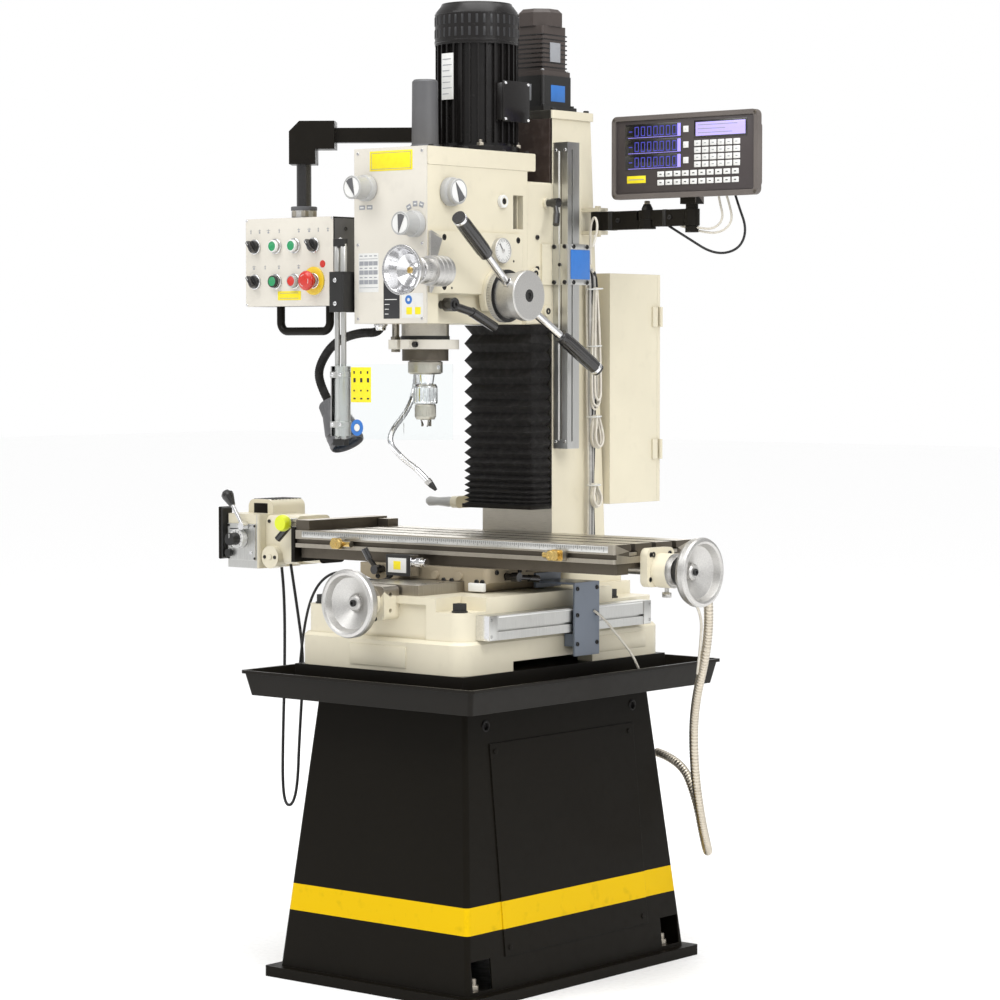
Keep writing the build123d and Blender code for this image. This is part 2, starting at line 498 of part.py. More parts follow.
def side_plate():
    """Feed gear cover on the head's right side, with the fine-feed bearing and the scale dial."""
    x0, x1 = HEAD_X + 0.05, HEAD_X + 6
    plate = soft_block(x0, x1, HEAD_Y0 + 2, -3, 1308, 1424, 3, Axis.X)
    plate += rod_x(54, x0, x1 + 8, HUB_Y, HUB_Z)
    plate -= block(x0 - 1, x1 + 10, HUB_Y - 60, HUB_Y + 60, 1240, 1276)
    plate += rod_x(24, x1, x1 + 9, -73, 1391)
    plate += rod_y(28, -300, -256, FEED_X, FEED_Z) + rod_y(22, -312, -300, FEED_X, FEED_Z)
    plate -= block(-100, x0, -320, 0, 1240, 1430)
    plate -= block(-100, HEAD_X + 2, -320, HEAD_Y0, 1240, 1430)
    for y, z in ((-233, 1412), (-16, 1412), (-233, 1320)):
        plate -= rod_x(6, x1 - 4, x1 + 1, y, z)
    plate -= rod_x(15 + FIT, x0 - 1, x1 + 9, HUB_Y, HUB_Z)
    plate -= rod_y(7 + FIT, -320, -265, FEED_X, FEED_Z)
    return plate


def spindle_motor():
    """Finned motor with its foot flange and slotted fan cowl."""
    y, r = MOTOR_Y, MOTOR_R
    body = rod_z(r + 2, HEAD_TOP, HEAD_TOP + 12, 0, y) + rod_z(r - 8, HEAD_TOP + 12, 1792, 0, y)
    for k in range(30):
        fin = Pos(0, y, 0) * Rot(0, 0, 12 * k) * block(r - 12, r, -1.5, 1.5, HEAD_TOP + 18, 1786)
        body += fin
    cowl = Pos(0, y, 0) * turned([(0, 1786), (r + 1, 1786), (r + 1, 1846), (r - 12, 1866), (0, 1866)])
    return body + cowl


def drawbar_cap():
    cap = turned([(0, 0), (27.5, 0), (27.5, 8), (25.5, 10), (24.5, 128), (21, 132), (0, 132)])
    return Pos(0, SPINDLE_Y, HEAD_TOP) * cap


def pointer_knob(skirt=25.0, reach=45.0):
    """Selector knob along local +Z: skirt, waist and a front disc with a raised pointer."""
    body = Pos(0, 0, 7) * Cylinder(skirt, 14) + Pos(0, 0, 14 + (reach - 14) / 2) * Cylinder(22, reach - 14)
    body = chamfer(body.faces().sort_by(Axis.Z)[-1].edges(), 2)
    return body + Pos(0, 0, -9) * Cylinder(6, 18)


def speed_knob(x, z):
    return Pos(x, HEAD_Y0 - 3.4, z) * Rot(90, 0, 0) * pointer_knob()


def side_knob():
    return Pos(HEAD_X + 0.4, -213, 1497) * Rot(0, 90, 0) * pointer_knob(27, 25)


def fine_feed_wheel():
    """Dished chromed fine-feed wheel on its graduated collar."""
    y0 = -330.0
    dish = turned([(0, 0), (22, 0), (24, 8), (44, 40), (46, 44), (46, 48), (41, 48), (30, 26),
                   (14, 12), (9, 14), (7, 22), (0, 22)])
    wheel = Pos(FEED_X, y0, FEED_Z) * Rot(90, 0, 0) * dish
    collar = rod_y(24, y0, -313, FEED_X, FEED_Z)
    return wheel + collar + rod_y(7, -314, -268, FEED_X, FEED_Z)


def lever_pair(shape):
    """Repeat a shape built along local +Y at both ends of the hub's lever line."""
    return [Pos(140, HUB_Y, HUB_Z) * Rot(LEVER_ANGLE + 180 * k, 0, 0) * shape for k in (0, 1)]


def downfeed_hub():
    """Downfeed hub with its dial, end disc and two opposed levers."""
    base = HEAD_X + 14.5
    hub = rod_x(50, base, base + 12, HUB_Y, HUB_Z) + rod_x(46, base + 12, base + 15, HUB_Y, HUB_Z)
    hub += rod_x(43, base + 15, 153, HUB_Y, HUB_Z)
    disc = chamfer(rod_x(47.5, 153, 169, HUB_Y, HUB_Z).edges().sort_by(Axis.X)[-1:], 2)
    hub += disc - rod_x(12, 164, 170, HUB_Y, HUB_Z)
    hub += rod_x(15, 66, base, HUB_Y, HUB_Z)
    lean = LEVER_LENGTH * sin(radians(LEVER_LEAN))
    lever = bar((0, 30, 0), (lean * 0.6, LEVER_LENGTH * 0.62, 0), 8)
    hub += lever_pair(lever)
    return hub


def lever_grips(hub):
    """Two ribbed plastic grips, one on each downfeed lever."""
    lean = LEVER_LENGTH * sin(radians(LEVER_LEAN))
    start, end = (lean * 0.53, LEVER_LENGTH * 0.535, 0), (lean, LEVER_LENGTH, 0)
    grip = bar(start, end, 13)
    return [g - hub for g in lever_pair(grip)]


def downfeed():
    """Downfeed hub and levers with their two grips."""
    hub = downfeed_hub()
    return Compound([hub, *lever_grips(hub)])


def quill():
    """Quill with its depth-stop clamp and rod."""
    y = SPINDLE_Y
    body = rod_z(QUILL_R, 1204, 1300, 0, y)
    body += rod_z(64, 1204, 1222, 0, y)
    body += block(-26, -4, y - 76, y - 50, 1204, 1222) + block(4, 26, y - 76, y - 50, 1204, 1222)
    body += rod_z(12, 1204, 1222, -58, -196) + rod_z(7, 1222, 1290, -58, -196)
    body += rod_z(44, 1182, 1204, 0, y)
    return body - rod_z(30 + FIT, 1181, 1301, 0, y)


def spindle():
    """Spindle nose and the drill chuck's body and jaws."""
    nose = turned([(0, 1138), (0, 1290), (30, 1290), (30, 1181), (33, 1180), (33, 1160), (29, 1157),
                   (18, 1156), (15, 1138)])
    chuck = turned([(0, 1138), (20, 1138), (22.5, 1134), (22.5, 1101), (14, 1100.5), (14, 1072),
                    (11, 1070), (5, 1057), (0, 1057)])
    return Pos(0, SPINDLE_Y, 0) * (nose + chuck)


def chuck_sleeve():
    """Knurled sleeve of the drill chuck."""
    sleeve = turned([(14.05, 1074), (17, 1071), (20, 1076), (20, 1098), (18.5, 1100.2), (14.05, 1100.2)])
    return Pos(0, SPINDLE_Y, 0) * sleeve


def quill_lock():
    """Quill clamp: boss and long lever."""
    y, z = -222.0, 1287.0
    x = HEAD_X + 0.4
    boss = rod_x(13, x, x + 22, y, z) + rod_x(8, 64, x, y, z)
    arm = bar((x + 14, y + 4, z - 2), (x + 22, y + 50, z - 14), 8)
    arm += bar((x + 22, y + 48, z - 13.5), (x + 24, y + 112, z - 41), 9.5)
    return boss + arm


def guard_post():
    """Clamp block and twin rails that carry the chuck guard."""
    x, y = GUARD_X, GUARD_Y
    block_body = soft_block(x - 18, x + 18, y - 14, -240, 1274, 1350, 4, Axis.Z)
    block_body += block(x + 17, -HEAD_X - 0.05, -270, -240, 1280, 1345)
    rails = rod_z(5, 1030, 1405, x - 8, y) + rod_z(5, 1030, 1405, x + 8, y)
    rails += soft_block(x - 14, x + 14, y - 7, y + 7, 1398, 1412, 3)
    return block_body + rails + soft_block(x - 15, x + 15, y - 8, y + 8, 1022, 1034, 3)


def guard_screen():
    """Clear folded guard on its hinge clip around the rails."""
    x, y = GUARD_X, GUARD_Y
    clip = rod_z(19, 1040, 1172, x, y)
    fold_x, thick = 61.0, 3.0
    leaf = block(x + 3, fold_x, y - 18, y - 18 + thick, 1036, 1176)
    wing = Pos(fold_x, y - 18, 0) * Rot(0, 0, 45) * block(0, 92, 0, thick, 1036, 1176)
    return clip + leaf + wing - rod_z(13.3, 1035, 1177, x, y)


def lamp():
    """Work lamp: flexible neck and conical shade under the head's left side."""
    neck = tube_along([(-64, -232, HEAD_Z0 - 0.4), (-64, -232, 1235), (-128, -226, 1236), (-208, -207, 1218),
                       (-250, -205, 1172), (-248, -205, 1136), (-220, -205, 1098)], 14, 8.5)
    shade = turned([(0, 0), (20, 0), (23, 4), (24, 26), (34, 62), (34, 94), (31, 97), (30, 92), (0, 92)])
    return neck + Pos(-222, -205, 1104) * Rot(0, 150, 0) * shade


def coolant_pipe():
    """Jointed coolant pipe ending in a nozzle beside the chuck."""
    route = [(-78, -106, HEAD_Z0 - 5), (-76, -112, 1180), (-72, -130, 1098), (-70, -214, 1034),
             (-52, -182, 994), (-34, -162, 976), (-14, -150, 950)]
    pipe = tube_along(route, 16, 6) + rod_z(11, HEAD_Z0 - 10, HEAD_Z0 - 0.1, -78, -106)
    return pipe + bar((-15, -150.5, 951), (-6, -142, 934), 4.5)


# ---------------------------------------------------------------- pendant
def pendant_arm():
    """Swivelling arm: pivot, square tube, elbow and down tube."""
    px, py = ARM_PIVOT
    tx, ty = TUBE_AT
    length = Vector(tx - px, ty - py).length
    angle = degrees(atan2(ty - py, tx - px))
    tube = block(-10, length - 40, -14, 14, -14, 14)
    outline = Plane.XZ * Polyline((length - 62, 27), (length + 6, 27), (length + 26, 7), (length + 26, -56),
                                  (length - 25, -56), (length - 25, -27), (length - 62, -27), close=True)
    elbow = extrude(make_face(outline), 25, both=True)
    arm = Pos(px, py, ARM_Z) * Rot(0, 0, angle) * (tube + elbow)
    arm += rod_z(14, HEAD_TOP - 10, ARM_Z, px, py) + rod_z(16, HEAD_TOP + 0.4, HEAD_TOP + 12, px, py)
    return arm + rod_z(14.3, 1463, ARM_Z - 50, tx, ty)


def pendant_box():
    """Control box with its collar and lower handle."""
    x0, x1, y0, y1, z0, z1 = BOX
    body = soft_block(x0, x1, y0, y1, z0, z1, 3, Axis.Y)
    body += rod_z(24, z1, z1 + 22, *TUBE_AT) - rod_z(14.3 + FIT, z1 + 4, z1 + 23, *TUBE_AT)
    y = (y0 + y1) / 2
    route = [(-325, y, z0 + 2), (-325, y, z0 - 48), (-195, y, z0 - 48), (-195, y, z0 + 2)]
    body += tube_along(route, 18, 8)
    for x, z in button_places():
        body -= rod_y(6 + FIT, y0 - 1, y0 + 22, x, z)
        body += rod_y(14, y0 - 3, y0, x, z) - rod_y(6 + FIT, y0 - 4, y0 + 1, x, z)
    return body


def button_places():
    """Centres of the eight control positions on the box."""
    return [(x, BUTTON_TOP_Z) for x in BUTTON_X] + [(x, BUTTON_LOW_Z) for x in BUTTON_X]


def push_button(x, z):
    y0 = BOX[2]
    return rod_y(10.5, y0 - 13, y0 - 6, x, z) + rod_y(6, y0 - 6, y0 + 14, x, z)


def selector(x, z):
    """Rotary selector with a raised finger bar."""
    y0 = BOX[2]
    body = rod_y(11.5, y0 - 10, y0 - 3.4, x, z) + rod_y(6, y0 - 4, y0 + 14, x, z)
    return body + Pos(x, y0 - 14, z) * Rot(0, -35, 0) * Box(7, 12, 24)


def e_stop(x, z):
    """Mushroom emergency stop on its collar."""
    y0 = BOX[2]
    return rod_y(19, y0 - 30, y0 - 18, x, z) + rod_y(12, y0 - 18, y0 - 10, x, z) + rod_y(6, y0 - 10, y0 + 12, x, z)


# ---------------------------------------------------------------- display
def dro_arm_rear():
    """Inner arm of the display, from the column bracket to the knuckle."""
    (px, py), (kx, ky) = DRO_PIVOT, DRO_KNUCKLE
    body = rod_z(14, DRO_Z0, DRO_Z1, px, py) + block(px, kx - 19, py - 9, py + 9, DRO_Z0, DRO_Z1)
    body += block(kx - 20, kx, ky - 9, ky + 9, DRO_Z0, 1454.7) + rod_z(17, DRO_Z0, 1454.7, kx, ky)
    body += rod_z(8, 1454, DRO_Z1 + 5, kx, ky)
    return body - rod_z(6 + FIT, DRO_Z0 - 1, DRO_Z1 + 1, px, py)


def dro_arm_front():
    """Outer arm of the display, from the knuckle to the stud hole."""
    (kx, ky), (tx, ty) = DRO_KNUCKLE, DRO_TIP
    body = rod_z(17, 1455, DRO_Z1, kx, ky) + block(kx, kx + 22, ky - 9, ky + 9, 1455, DRO_Z1)
    body += block(kx + 19, tx, ky - 9, ky + 9, DRO_Z0 + 4, DRO_Z1) + rod_z(15, DRO_Z0 + 4, DRO_Z1, tx, ty)
    return body - rod_z(8 + FIT, 1454, DRO_Z1 + 1, kx, ky) - rod_z(8 + FIT, DRO_Z0, DRO_Z1 + 1, tx, ty)


def dro_console():
    """Digital readout console with a recessed fascia and its swivel stud."""
    x0, x1, y0, y1, z0, z1 = CONSOLE
    frame = soft_block(x0, x1, y0, y0 + 20, z0, z1, 12, Axis.Y)
    body = chamfer(frame.faces().sort_by(Axis.Y)[-1].edges(), 7)
    body += soft_block(x0 + 24, x1 - 24, y0 + 19, y1, z0 + 16, z1 - 20, 10, Axis.Y)
    body -= soft_block(x0 + 9, x1 - 9, y0 - 1, y0 + 3, z0 + 10, z1 - 9, 5, Axis.Y)
    tx, ty = DRO_TIP
    body += block(tx - 18, tx + 18, ty - 14, ty + 14, z0 - 12, z0 + 18) + rod_z(8, DRO_Z0 - 8, z0 - 10, tx, ty)
    body += rod_z(13, DRO_Z0 - 9, DRO_Z0 + 3.5, tx, ty)
    return body + rod_z(12, DRO_Z1 + 0.5, z0 - 10, tx, ty)


# ---------------------------------------------------------------- way covers, cables
def bellows():
    """Folded cover of the column ways, below the head slide."""
    pitch = (BELLOWS_Z1 - BELLOWS_Z0) / BELLOWS_FOLDS
    body = block(-COL_X, COL_X, 34, 96, BELLOWS_Z0 - 8, BELLOWS_Z0)
    for k in range(BELLOWS_FOLDS):
        z = BELLOWS_Z0 + k * pitch
        body += block(-COL_X + 8, COL_X - 8, 44, 96, z, z + pitch)
        body += block(-COL_X, COL_X, 35, 96, z + pitch * 0.62, z + pitch)
    return body - block(-64, 64, 60, 97, BELLOWS_Z0 - 9, BELLOWS_Z1 + 1)


def way_cover():
    """Rubber apron of the column ways, above the head slide."""
    return block(-COL_X + 2, COL_X - 2, 90, 96, SLIDE_TOP + 0.5, COL_TOP_Z - 0.5)


PF_CABLE = [(-478, -72, 763.2), (-472, -70, 714), (-470, -72, 560), (-472, -76, 420), (-458, -84, 296),
            (-440, -88, 286), (-420, -84, 400), (-418, -70, 580), (-446, -62, 690), (-462, -62, 769.5)]
DRAIN_HOSE = [(431, 70, 800), (462, 76, 796), (470, 92, 740), (448, 118, 640), (392, 150, 520),
              (372, 180, 400), (352, 232, 290), (330, 290, 212), (300, 316, 232), (262, 338, 320),
              (215, 352, 385), (150, 356, 396)]


def pf_cable():
    return tube_along(PF_CABLE, 7, 3)


def drain_hose():
    return tube_along(DRAIN_HOSE, 22, 9)


def build():
    """Every sub-part by node name."""
    bx, top, low = BUTTON_X, BUTTON_TOP_Z, BUTTON_LOW_Z
    return {
        "stand": stand(), "chip_tray": chip_tray(),
        "base_casting": base_casting() + cross_bracket(), "base_bolts": base_bolts(),
        "y_handwheel": y_handwheel(), "column": column(), "z_drive": z_drive(), "z_crank": z_crank(),
        "electric_cabinet": electric_cabinet(), "cabinet_door": cabinet_door(), "dro_scales": dro_scales(),
        "saddle": saddle(), "saddle_fittings": saddle_fittings(), "saddle_lock": saddle_lock(),
        "table_lock": table_lock(), "table": table(), "x_bracket": x_bracket(), "x_handwheel": x_handwheel(),
        "table_plates": table_plates(), "stop_dog_left": stop_dog(-245, 1), "stop_dog_right": stop_dog(306, -1),
        "power_feed": power_feed() + feed_clamp(), "power_feed_dial": power_feed_dial(),
        "power_feed_lever": power_feed_lever(),
        "head_slide": head_slide(), "slide_clamp": slide_clamp(), "head_casting": head_casting(),
        "front_panel": front_panel(), "side_plate": side_plate(),
        "head_drive": Compound([spindle_motor(), drawbar_cap()]), "range_knob": speed_knob(-56, 1506), "speed_knob": speed_knob(64, 1436),
        "side_knob": side_knob(), "fine_feed_wheel": fine_feed_wheel(),
        "downfeed_hub": downfeed(), "quill": quill(), "spindle": spindle(), "chuck_sleeve": chuck_sleeve(),
        "quill_lock": quill_lock(), "guard_post": guard_post(), "guard_screen": guard_screen(),
        "lamp": lamp(), "coolant_pipe": coolant_pipe(), "pendant_arm": pendant_arm(),
        "pendant_box": pendant_box(),
        "mode_selector": selector(bx[0], top), "button_feed": push_button(bx[1], top),
        "button_run": push_button(bx[2], top), "lamp_selector": selector(bx[3], top),
        "coolant_selector": selector(bx[0], low), "button_start": push_button(bx[1], low),
        "button_stop": push_button(bx[2], low), "e_stop": e_stop(bx[3], low),
        "dro_arm_rear": dro_arm_rear(), "dro_arm_front": dro_arm_front(), "dro_console": dro_console(),
        "bellows": bellows(), "way_cover": way_cover(), "pf_cable": pf_cable(), "drain_hose": drain_hose(),
    }


if __name__ == "__main__":
    os.makedirs("parts", exist_ok=True)
    for node, solid in build().items():
        export_step(solid, f"parts/{node}.step")
        print(node, len(solid.solids()), round(solid.volume / 1000, 1))
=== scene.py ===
import json
import math
import random
from itertools import product

import bmesh
import bpy
from mathutils import Matrix, Vector


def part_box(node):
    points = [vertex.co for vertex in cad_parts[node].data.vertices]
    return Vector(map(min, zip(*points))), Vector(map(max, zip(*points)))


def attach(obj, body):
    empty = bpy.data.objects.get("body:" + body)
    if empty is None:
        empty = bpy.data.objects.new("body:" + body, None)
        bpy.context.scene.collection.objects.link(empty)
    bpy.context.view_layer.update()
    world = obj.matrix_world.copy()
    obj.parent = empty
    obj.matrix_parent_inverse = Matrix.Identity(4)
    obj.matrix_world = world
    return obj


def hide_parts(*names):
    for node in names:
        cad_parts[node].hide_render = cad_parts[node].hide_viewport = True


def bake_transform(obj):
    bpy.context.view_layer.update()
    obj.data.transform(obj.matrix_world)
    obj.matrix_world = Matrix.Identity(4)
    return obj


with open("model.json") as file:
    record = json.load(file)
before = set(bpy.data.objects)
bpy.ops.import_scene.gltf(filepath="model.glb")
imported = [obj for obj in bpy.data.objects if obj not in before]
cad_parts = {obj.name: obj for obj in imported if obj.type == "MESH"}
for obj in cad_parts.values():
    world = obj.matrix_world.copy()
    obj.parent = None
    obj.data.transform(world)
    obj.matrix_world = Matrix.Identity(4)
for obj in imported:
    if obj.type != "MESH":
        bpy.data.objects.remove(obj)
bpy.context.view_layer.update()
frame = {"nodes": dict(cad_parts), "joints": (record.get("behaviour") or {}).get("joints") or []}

PI = math.pi


# ---------------------------------------------------------------- camera, light and floor
CAMERA = (3.81205, -4.5628, 1.19385)
CAMERA_TURN, CAMERA_PITCH = math.radians(39.6), math.radians(-2.72)
LENS = 110.16
LIT = (0.0, -0.05, 1.05)                        # what the square lamps point at
LAMPS = (("key", (-1.4, -3.6, 4.4), 2.2, 70), ("side", (3.8, -0.9, 3.6), 2.2, 80),
         ("top", (0.3, 0.2, 4.8), 3.0, 40), ("rear", (-2.8, 3.4, 2.8), 2.0, 30))


def place_object(name, data, place, target):
    """Put a camera or lamp in the scene, looking at a target."""
    obj = bpy.data.objects.new(name, data)
    obj.location = place
    obj.rotation_euler = (Vector(target) - obj.location).to_track_quat("-Z", "Y").to_euler()
    bpy.context.scene.collection.objects.link(obj)
    return obj


def set_up_camera():
    data = bpy.data.cameras.new("camera")
    data.sensor_width, data.lens, data.clip_end = 36.0, LENS, 200.0
    flat = math.cos(CAMERA_PITCH)
    aim = Vector((-math.sin(CAMERA_TURN) * flat, math.cos(CAMERA_TURN) * flat, math.sin(CAMERA_PITCH)))
    bpy.context.scene.camera = place_object("camera", data, CAMERA, Vector(CAMERA) + aim)
    bpy.context.scene.view_settings.view_transform = "Standard"


def set_up_lamps():
    for name, place, size, power in LAMPS:
        data = bpy.data.lights.new(name, "AREA")
        data.shape, data.size, data.size_y, data.energy = "RECTANGLE", size, size, power
        place_object(name, data, place, LIT)
    sky = bpy.data.lights.new("sky", "SUN")
    sky.energy, sky.angle = 1.65, math.radians(70)
    place_object("sky", sky, (0.8, -1.2, 4.0), (0, 0, 0))


def set_up_world():
    """Pure white where the camera sees the world, also through clear parts; a dimmer white as light."""
    world = bpy.data.worlds.new("studio")
    world.use_nodes = True
    tree = world.node_tree
    add, link = tree.nodes.new, tree.links.new
    lit, seen, either = tree.nodes["Background"], add("ShaderNodeBackground"), add("ShaderNodeMixShader")
    for node, strength in ((lit, 0.56), (seen, 1.0)):
        node.inputs[0].default_value, node.inputs[1].default_value = (1, 1, 1, 1), strength
    path, direct = add("ShaderNodeLightPath"), add("ShaderNodeMath")
    direct.operation = "MAXIMUM"
    link(path.outputs["Is Camera Ray"], direct.inputs[0])
    link(path.outputs["Is Transmission Ray"], direct.inputs[1])
    for k, node in enumerate((direct, lit, seen)):
        link(node.outputs[0], either.inputs[k])
    link(either.outputs[0], tree.nodes["World Output"].inputs[0])
    bpy.context.scene.world = world


# ---------------------------------------------------------------- materials
class Nodes:
    """Short helper to wire one Principled material."""

    def __init__(self, name):
        self.mat = bpy.data.materials.new(name)
        self.mat.use_nodes = True
        self.tree = self.mat.node_tree
        self.shader = self.tree.nodes["Principled BSDF"]
        self.place = self.add("ShaderNodeTexCoord").outputs["Object"]

    def add(self, kind, **values):
        node = self.tree.nodes.new(kind)
        for key, value in values.items():
            setattr(node, key, value)
        return node

    def link(self, a, b):
        self.tree.links.new(a, b)

    def put(self, socket, value):
        self.shader.inputs[socket].default_value = value

    def scaled(self, scale):
        node = self.add("ShaderNodeMapping")
        node.inputs["Scale"].default_value = scale
        self.link(self.place, node.inputs["Vector"])
        return node.outputs[0]

    def noise(self, scale, detail=3.0, stretch=(1, 1, 1)):
        node = self.add("ShaderNodeTexNoise")
        node.inputs["Scale"].default_value = scale
        node.inputs["Detail"].default_value = detail
        self.link(self.scaled(stretch), node.inputs["Vector"])
        return node.outputs["Fac"]

    def ramp(self, value, low, high, out_low=0.0, out_high=1.0):
        node = self.add("ShaderNodeMapRange")
        limits = {"From Min": low, "From Max": high, "To Min": out_low, "To Max": out_high}
        for key, number in limits.items():
            node.inputs[key].default_value = number
        self.link(value, node.inputs["Value"])
        return node.outputs[0]

    def maths(self, operation, a, b):
        node = self.add("ShaderNodeMath", operation=operation)
        self.link(a, node.inputs[0])
        if isinstance(b, float):
            node.inputs[1].default_value = b
        else:
            self.link(b, node.inputs[1])
        return node.outputs[0]

    def mix(self, fac, a, b):
        node = self.add("ShaderNodeMix", data_type="RGBA")
        self.link(fac, node.inputs[0])
        for socket, value in ((node.inputs[6], a), (node.inputs[7], b)):
            if isinstance(value, tuple):
                socket.default_value = (*value, 1)
            else:
                self.link(value, socket)
        return node.outputs[2]

    def coat_with(self, tone, spots, rough, least, most):
        """Colour of the surface, and its roughness between two shares of its mean."""
        self.link(tone, self.shader.inputs["Base Color"])
        self.link(self.ramp(spots, 0.3, 0.7, rough * least, rough * most), self.shader.inputs["Roughness"])

    def edges(self, radius):
        """1 near sharp edges, 0 on open faces."""
        wide = self.add("ShaderNodeBevel", samples=3)
        wide.inputs["Radius"].default_value = radius
        plain = self.add("ShaderNodeNewGeometry")
        dot = self.add("ShaderNodeVectorMath", operation="DOT_PRODUCT")
        self.link(wide.outputs[0], dot.inputs[0])
        self.link(plain.outputs["Normal"], dot.inputs[1])
        return self.ramp(dot.outputs["Value"], 0.995, 0.90)

    def relief(self, height, strength, distance=0.001, round_edges=0.0011):
        bump = self.add("ShaderNodeBump")
        bump.inputs["Strength"].default_value = strength
        bump.inputs["Distance"].default_value = distance
        self.link(height, bump.inputs["Height"])
        if round_edges:
            soft = self.add("ShaderNodeBevel", samples=4)
            soft.inputs["Radius"].default_value = round_edges
            self.link(soft.outputs[0], bump.inputs["Normal"])
        self.link(bump.outputs[0], self.shader.inputs["Normal"])


def shade(colour, factor, lift=0.0):
    return tuple(min(1.0, c * factor + lift) for c in colour)


def enamel(name, colour, rough=0.34, wear=(0.30, 0.29, 0.27), wear_amount=0.35, peel=0.10, band=None,
           gloss=0.5, coat=0.2):
    """Sprayed machine paint: cloudy, with orange peel, grime and worn edges; band is (low, high, colour)."""
    n = Nodes(name)
    clouds = n.ramp(n.noise(5.0, 4), 0.3, 0.7)
    tone = n.mix(clouds, shade(colour, 0.93), shade(colour, 1.04))
    if band:
        z = n.add("ShaderNodeSeparateXYZ")
        n.link(n.place, z.inputs[0])
        inside = n.maths("MULTIPLY", n.maths("GREATER_THAN", z.outputs[2], band[0]),
                         n.maths("LESS_THAN", z.outputs[2], band[1]))
        tone = n.mix(inside, tone, band[2])
    smudge = n.ramp(n.noise(38.0, 6), 0.58, 0.78, 0.0, 0.20)
    tone = n.mix(smudge, tone, shade(colour, 0.72))
    chips = n.ramp(n.noise(260.0, 5), 0.52, 0.60, 0.0, wear_amount)
    tone = n.mix(n.maths("MULTIPLY", chips, n.edges(0.0016)), tone, wear)
    n.coat_with(tone, n.noise(60.0, 4), rough, 0.85, 1.25)
    n.put("Specular IOR Level", gloss)
    n.put("Coat Weight", coat)
    n.put("Coat Roughness", 0.12)
    n.relief(n.noise(650.0, 2), peel, 0.0006)
    return n.mat


def metal(name, colour, rough=0.3, grain=(4, 260, 260), depth=0.10, stain=0.25):
    """Machined metal with the tool marks running along the narrow axis of the grain."""
    n = Nodes(name)
    marks = n.noise(9.0, 5, grain)
    tone = n.mix(n.ramp(marks, 0.3, 0.7), shade(colour, 0.84), shade(colour, 1.08))
    dull = n.ramp(n.noise(22.0, 5), 0.52, 0.75, 0.0, stain)
    tone = n.mix(dull, tone, shade(colour, 0.55))
    tone = n.mix(n.edges(0.0012), tone, shade(colour, 1.25))
    n.link(tone, n.shader.inputs["Base Color"])
    n.put("Metallic", 1.0)
    n.link(n.ramp(marks, 0.25, 0.75, rough * 0.75, rough * 1.35), n.shader.inputs["Roughness"])
    n.relief(marks, depth, 0.0005, 0.0008)
    return n.mat


def plastic(name, colour, rough=0.42, grain=900.0, depth=0.12, coat=0.0):
    """Moulded plastic with a fine spark texture and rubbed edges."""
    n = Nodes(name)
    tone = n.mix(n.ramp(n.noise(14.0, 4), 0.35, 0.7), shade(colour, 0.92), shade(colour, 1.06))
    rub = n.maths("MULTIPLY", n.edges(0.0010), n.ramp(n.noise(180.0, 4), 0.4, 0.7, 0.1, 0.6))
    tone = n.mix(rub, tone, shade(colour, 1.25, 0.03))
    n.coat_with(tone, n.noise(45.0, 3), rough, 0.85, 1.2)
    if coat:
        n.put("Coat Weight", coat)
        n.put("Coat Roughness", 0.06)
    n.relief(n.noise(grain, 2), depth, 0.0004, 0.0009)
    return n.mat


def rubber(name, colour, rough=0.62):
    """Rubberised cloth or cable sheath: soft weave and dust."""
    n = Nodes(name)
    dust = n.ramp(n.noise(70.0, 6), 0.5, 0.8, 0.0, 0.45)
    n.coat_with(n.mix(dust, colour, shade(colour, 1.6, 0.035)), n.noise(110.0, 3), rough, 0.85, 1.15)
    n.put("Sheen Weight", 0.04)
    n.put("Specular IOR Level", 0.25)
    n.relief(n.noise(1400.0, 2), 0.25, 0.0004, 0.0008)
    return n.mat


def clear(name, tint, rough=0.04):
    n = Nodes(name)
    n.put("Base Color", (*tint, 1))
    n.put("Transmission Weight", 1.0)
    n.put("IOR", 1.10)
    n.link(n.ramp(n.noise(30.0, 6), 0.4, 0.8, rough, rough * 5), n.shader.inputs["Roughness"])
    n.relief(n.noise(8.0, 2), 0.05, 0.002, 0)
    return n.mat


def glow(name, colour, strength, base=(0.02, 0.02, 0.02)):
    n = Nodes(name)
    tone = n.mix(n.ramp(n.noise(500.0, 2), 0.3, 0.7), shade(base, 0.9), shade(base, 1.1))
    n.link(tone, n.shader.inputs["Base Color"])
    n.put("Roughness", 0.2)
    n.put("Emission Color", (*colour, 1))
    n.put("Emission Strength", strength)
    return n.mat


def scrubbed(name, colour, rough=0.45):
    """Printed label stock: faint fibres and handling marks."""
    n = Nodes(name)
    tone = n.mix(n.ramp(n.noise(90.0, 5), 0.45, 0.7, 0.0, 0.5), colour, shade(colour, 0.88))
    n.coat_with(tone, n.noise(60.0, 3), rough, 0.8, 1.2)
    n.relief(n.noise(700.0, 2), 0.06, 0.0003, 0)
    return n.mat


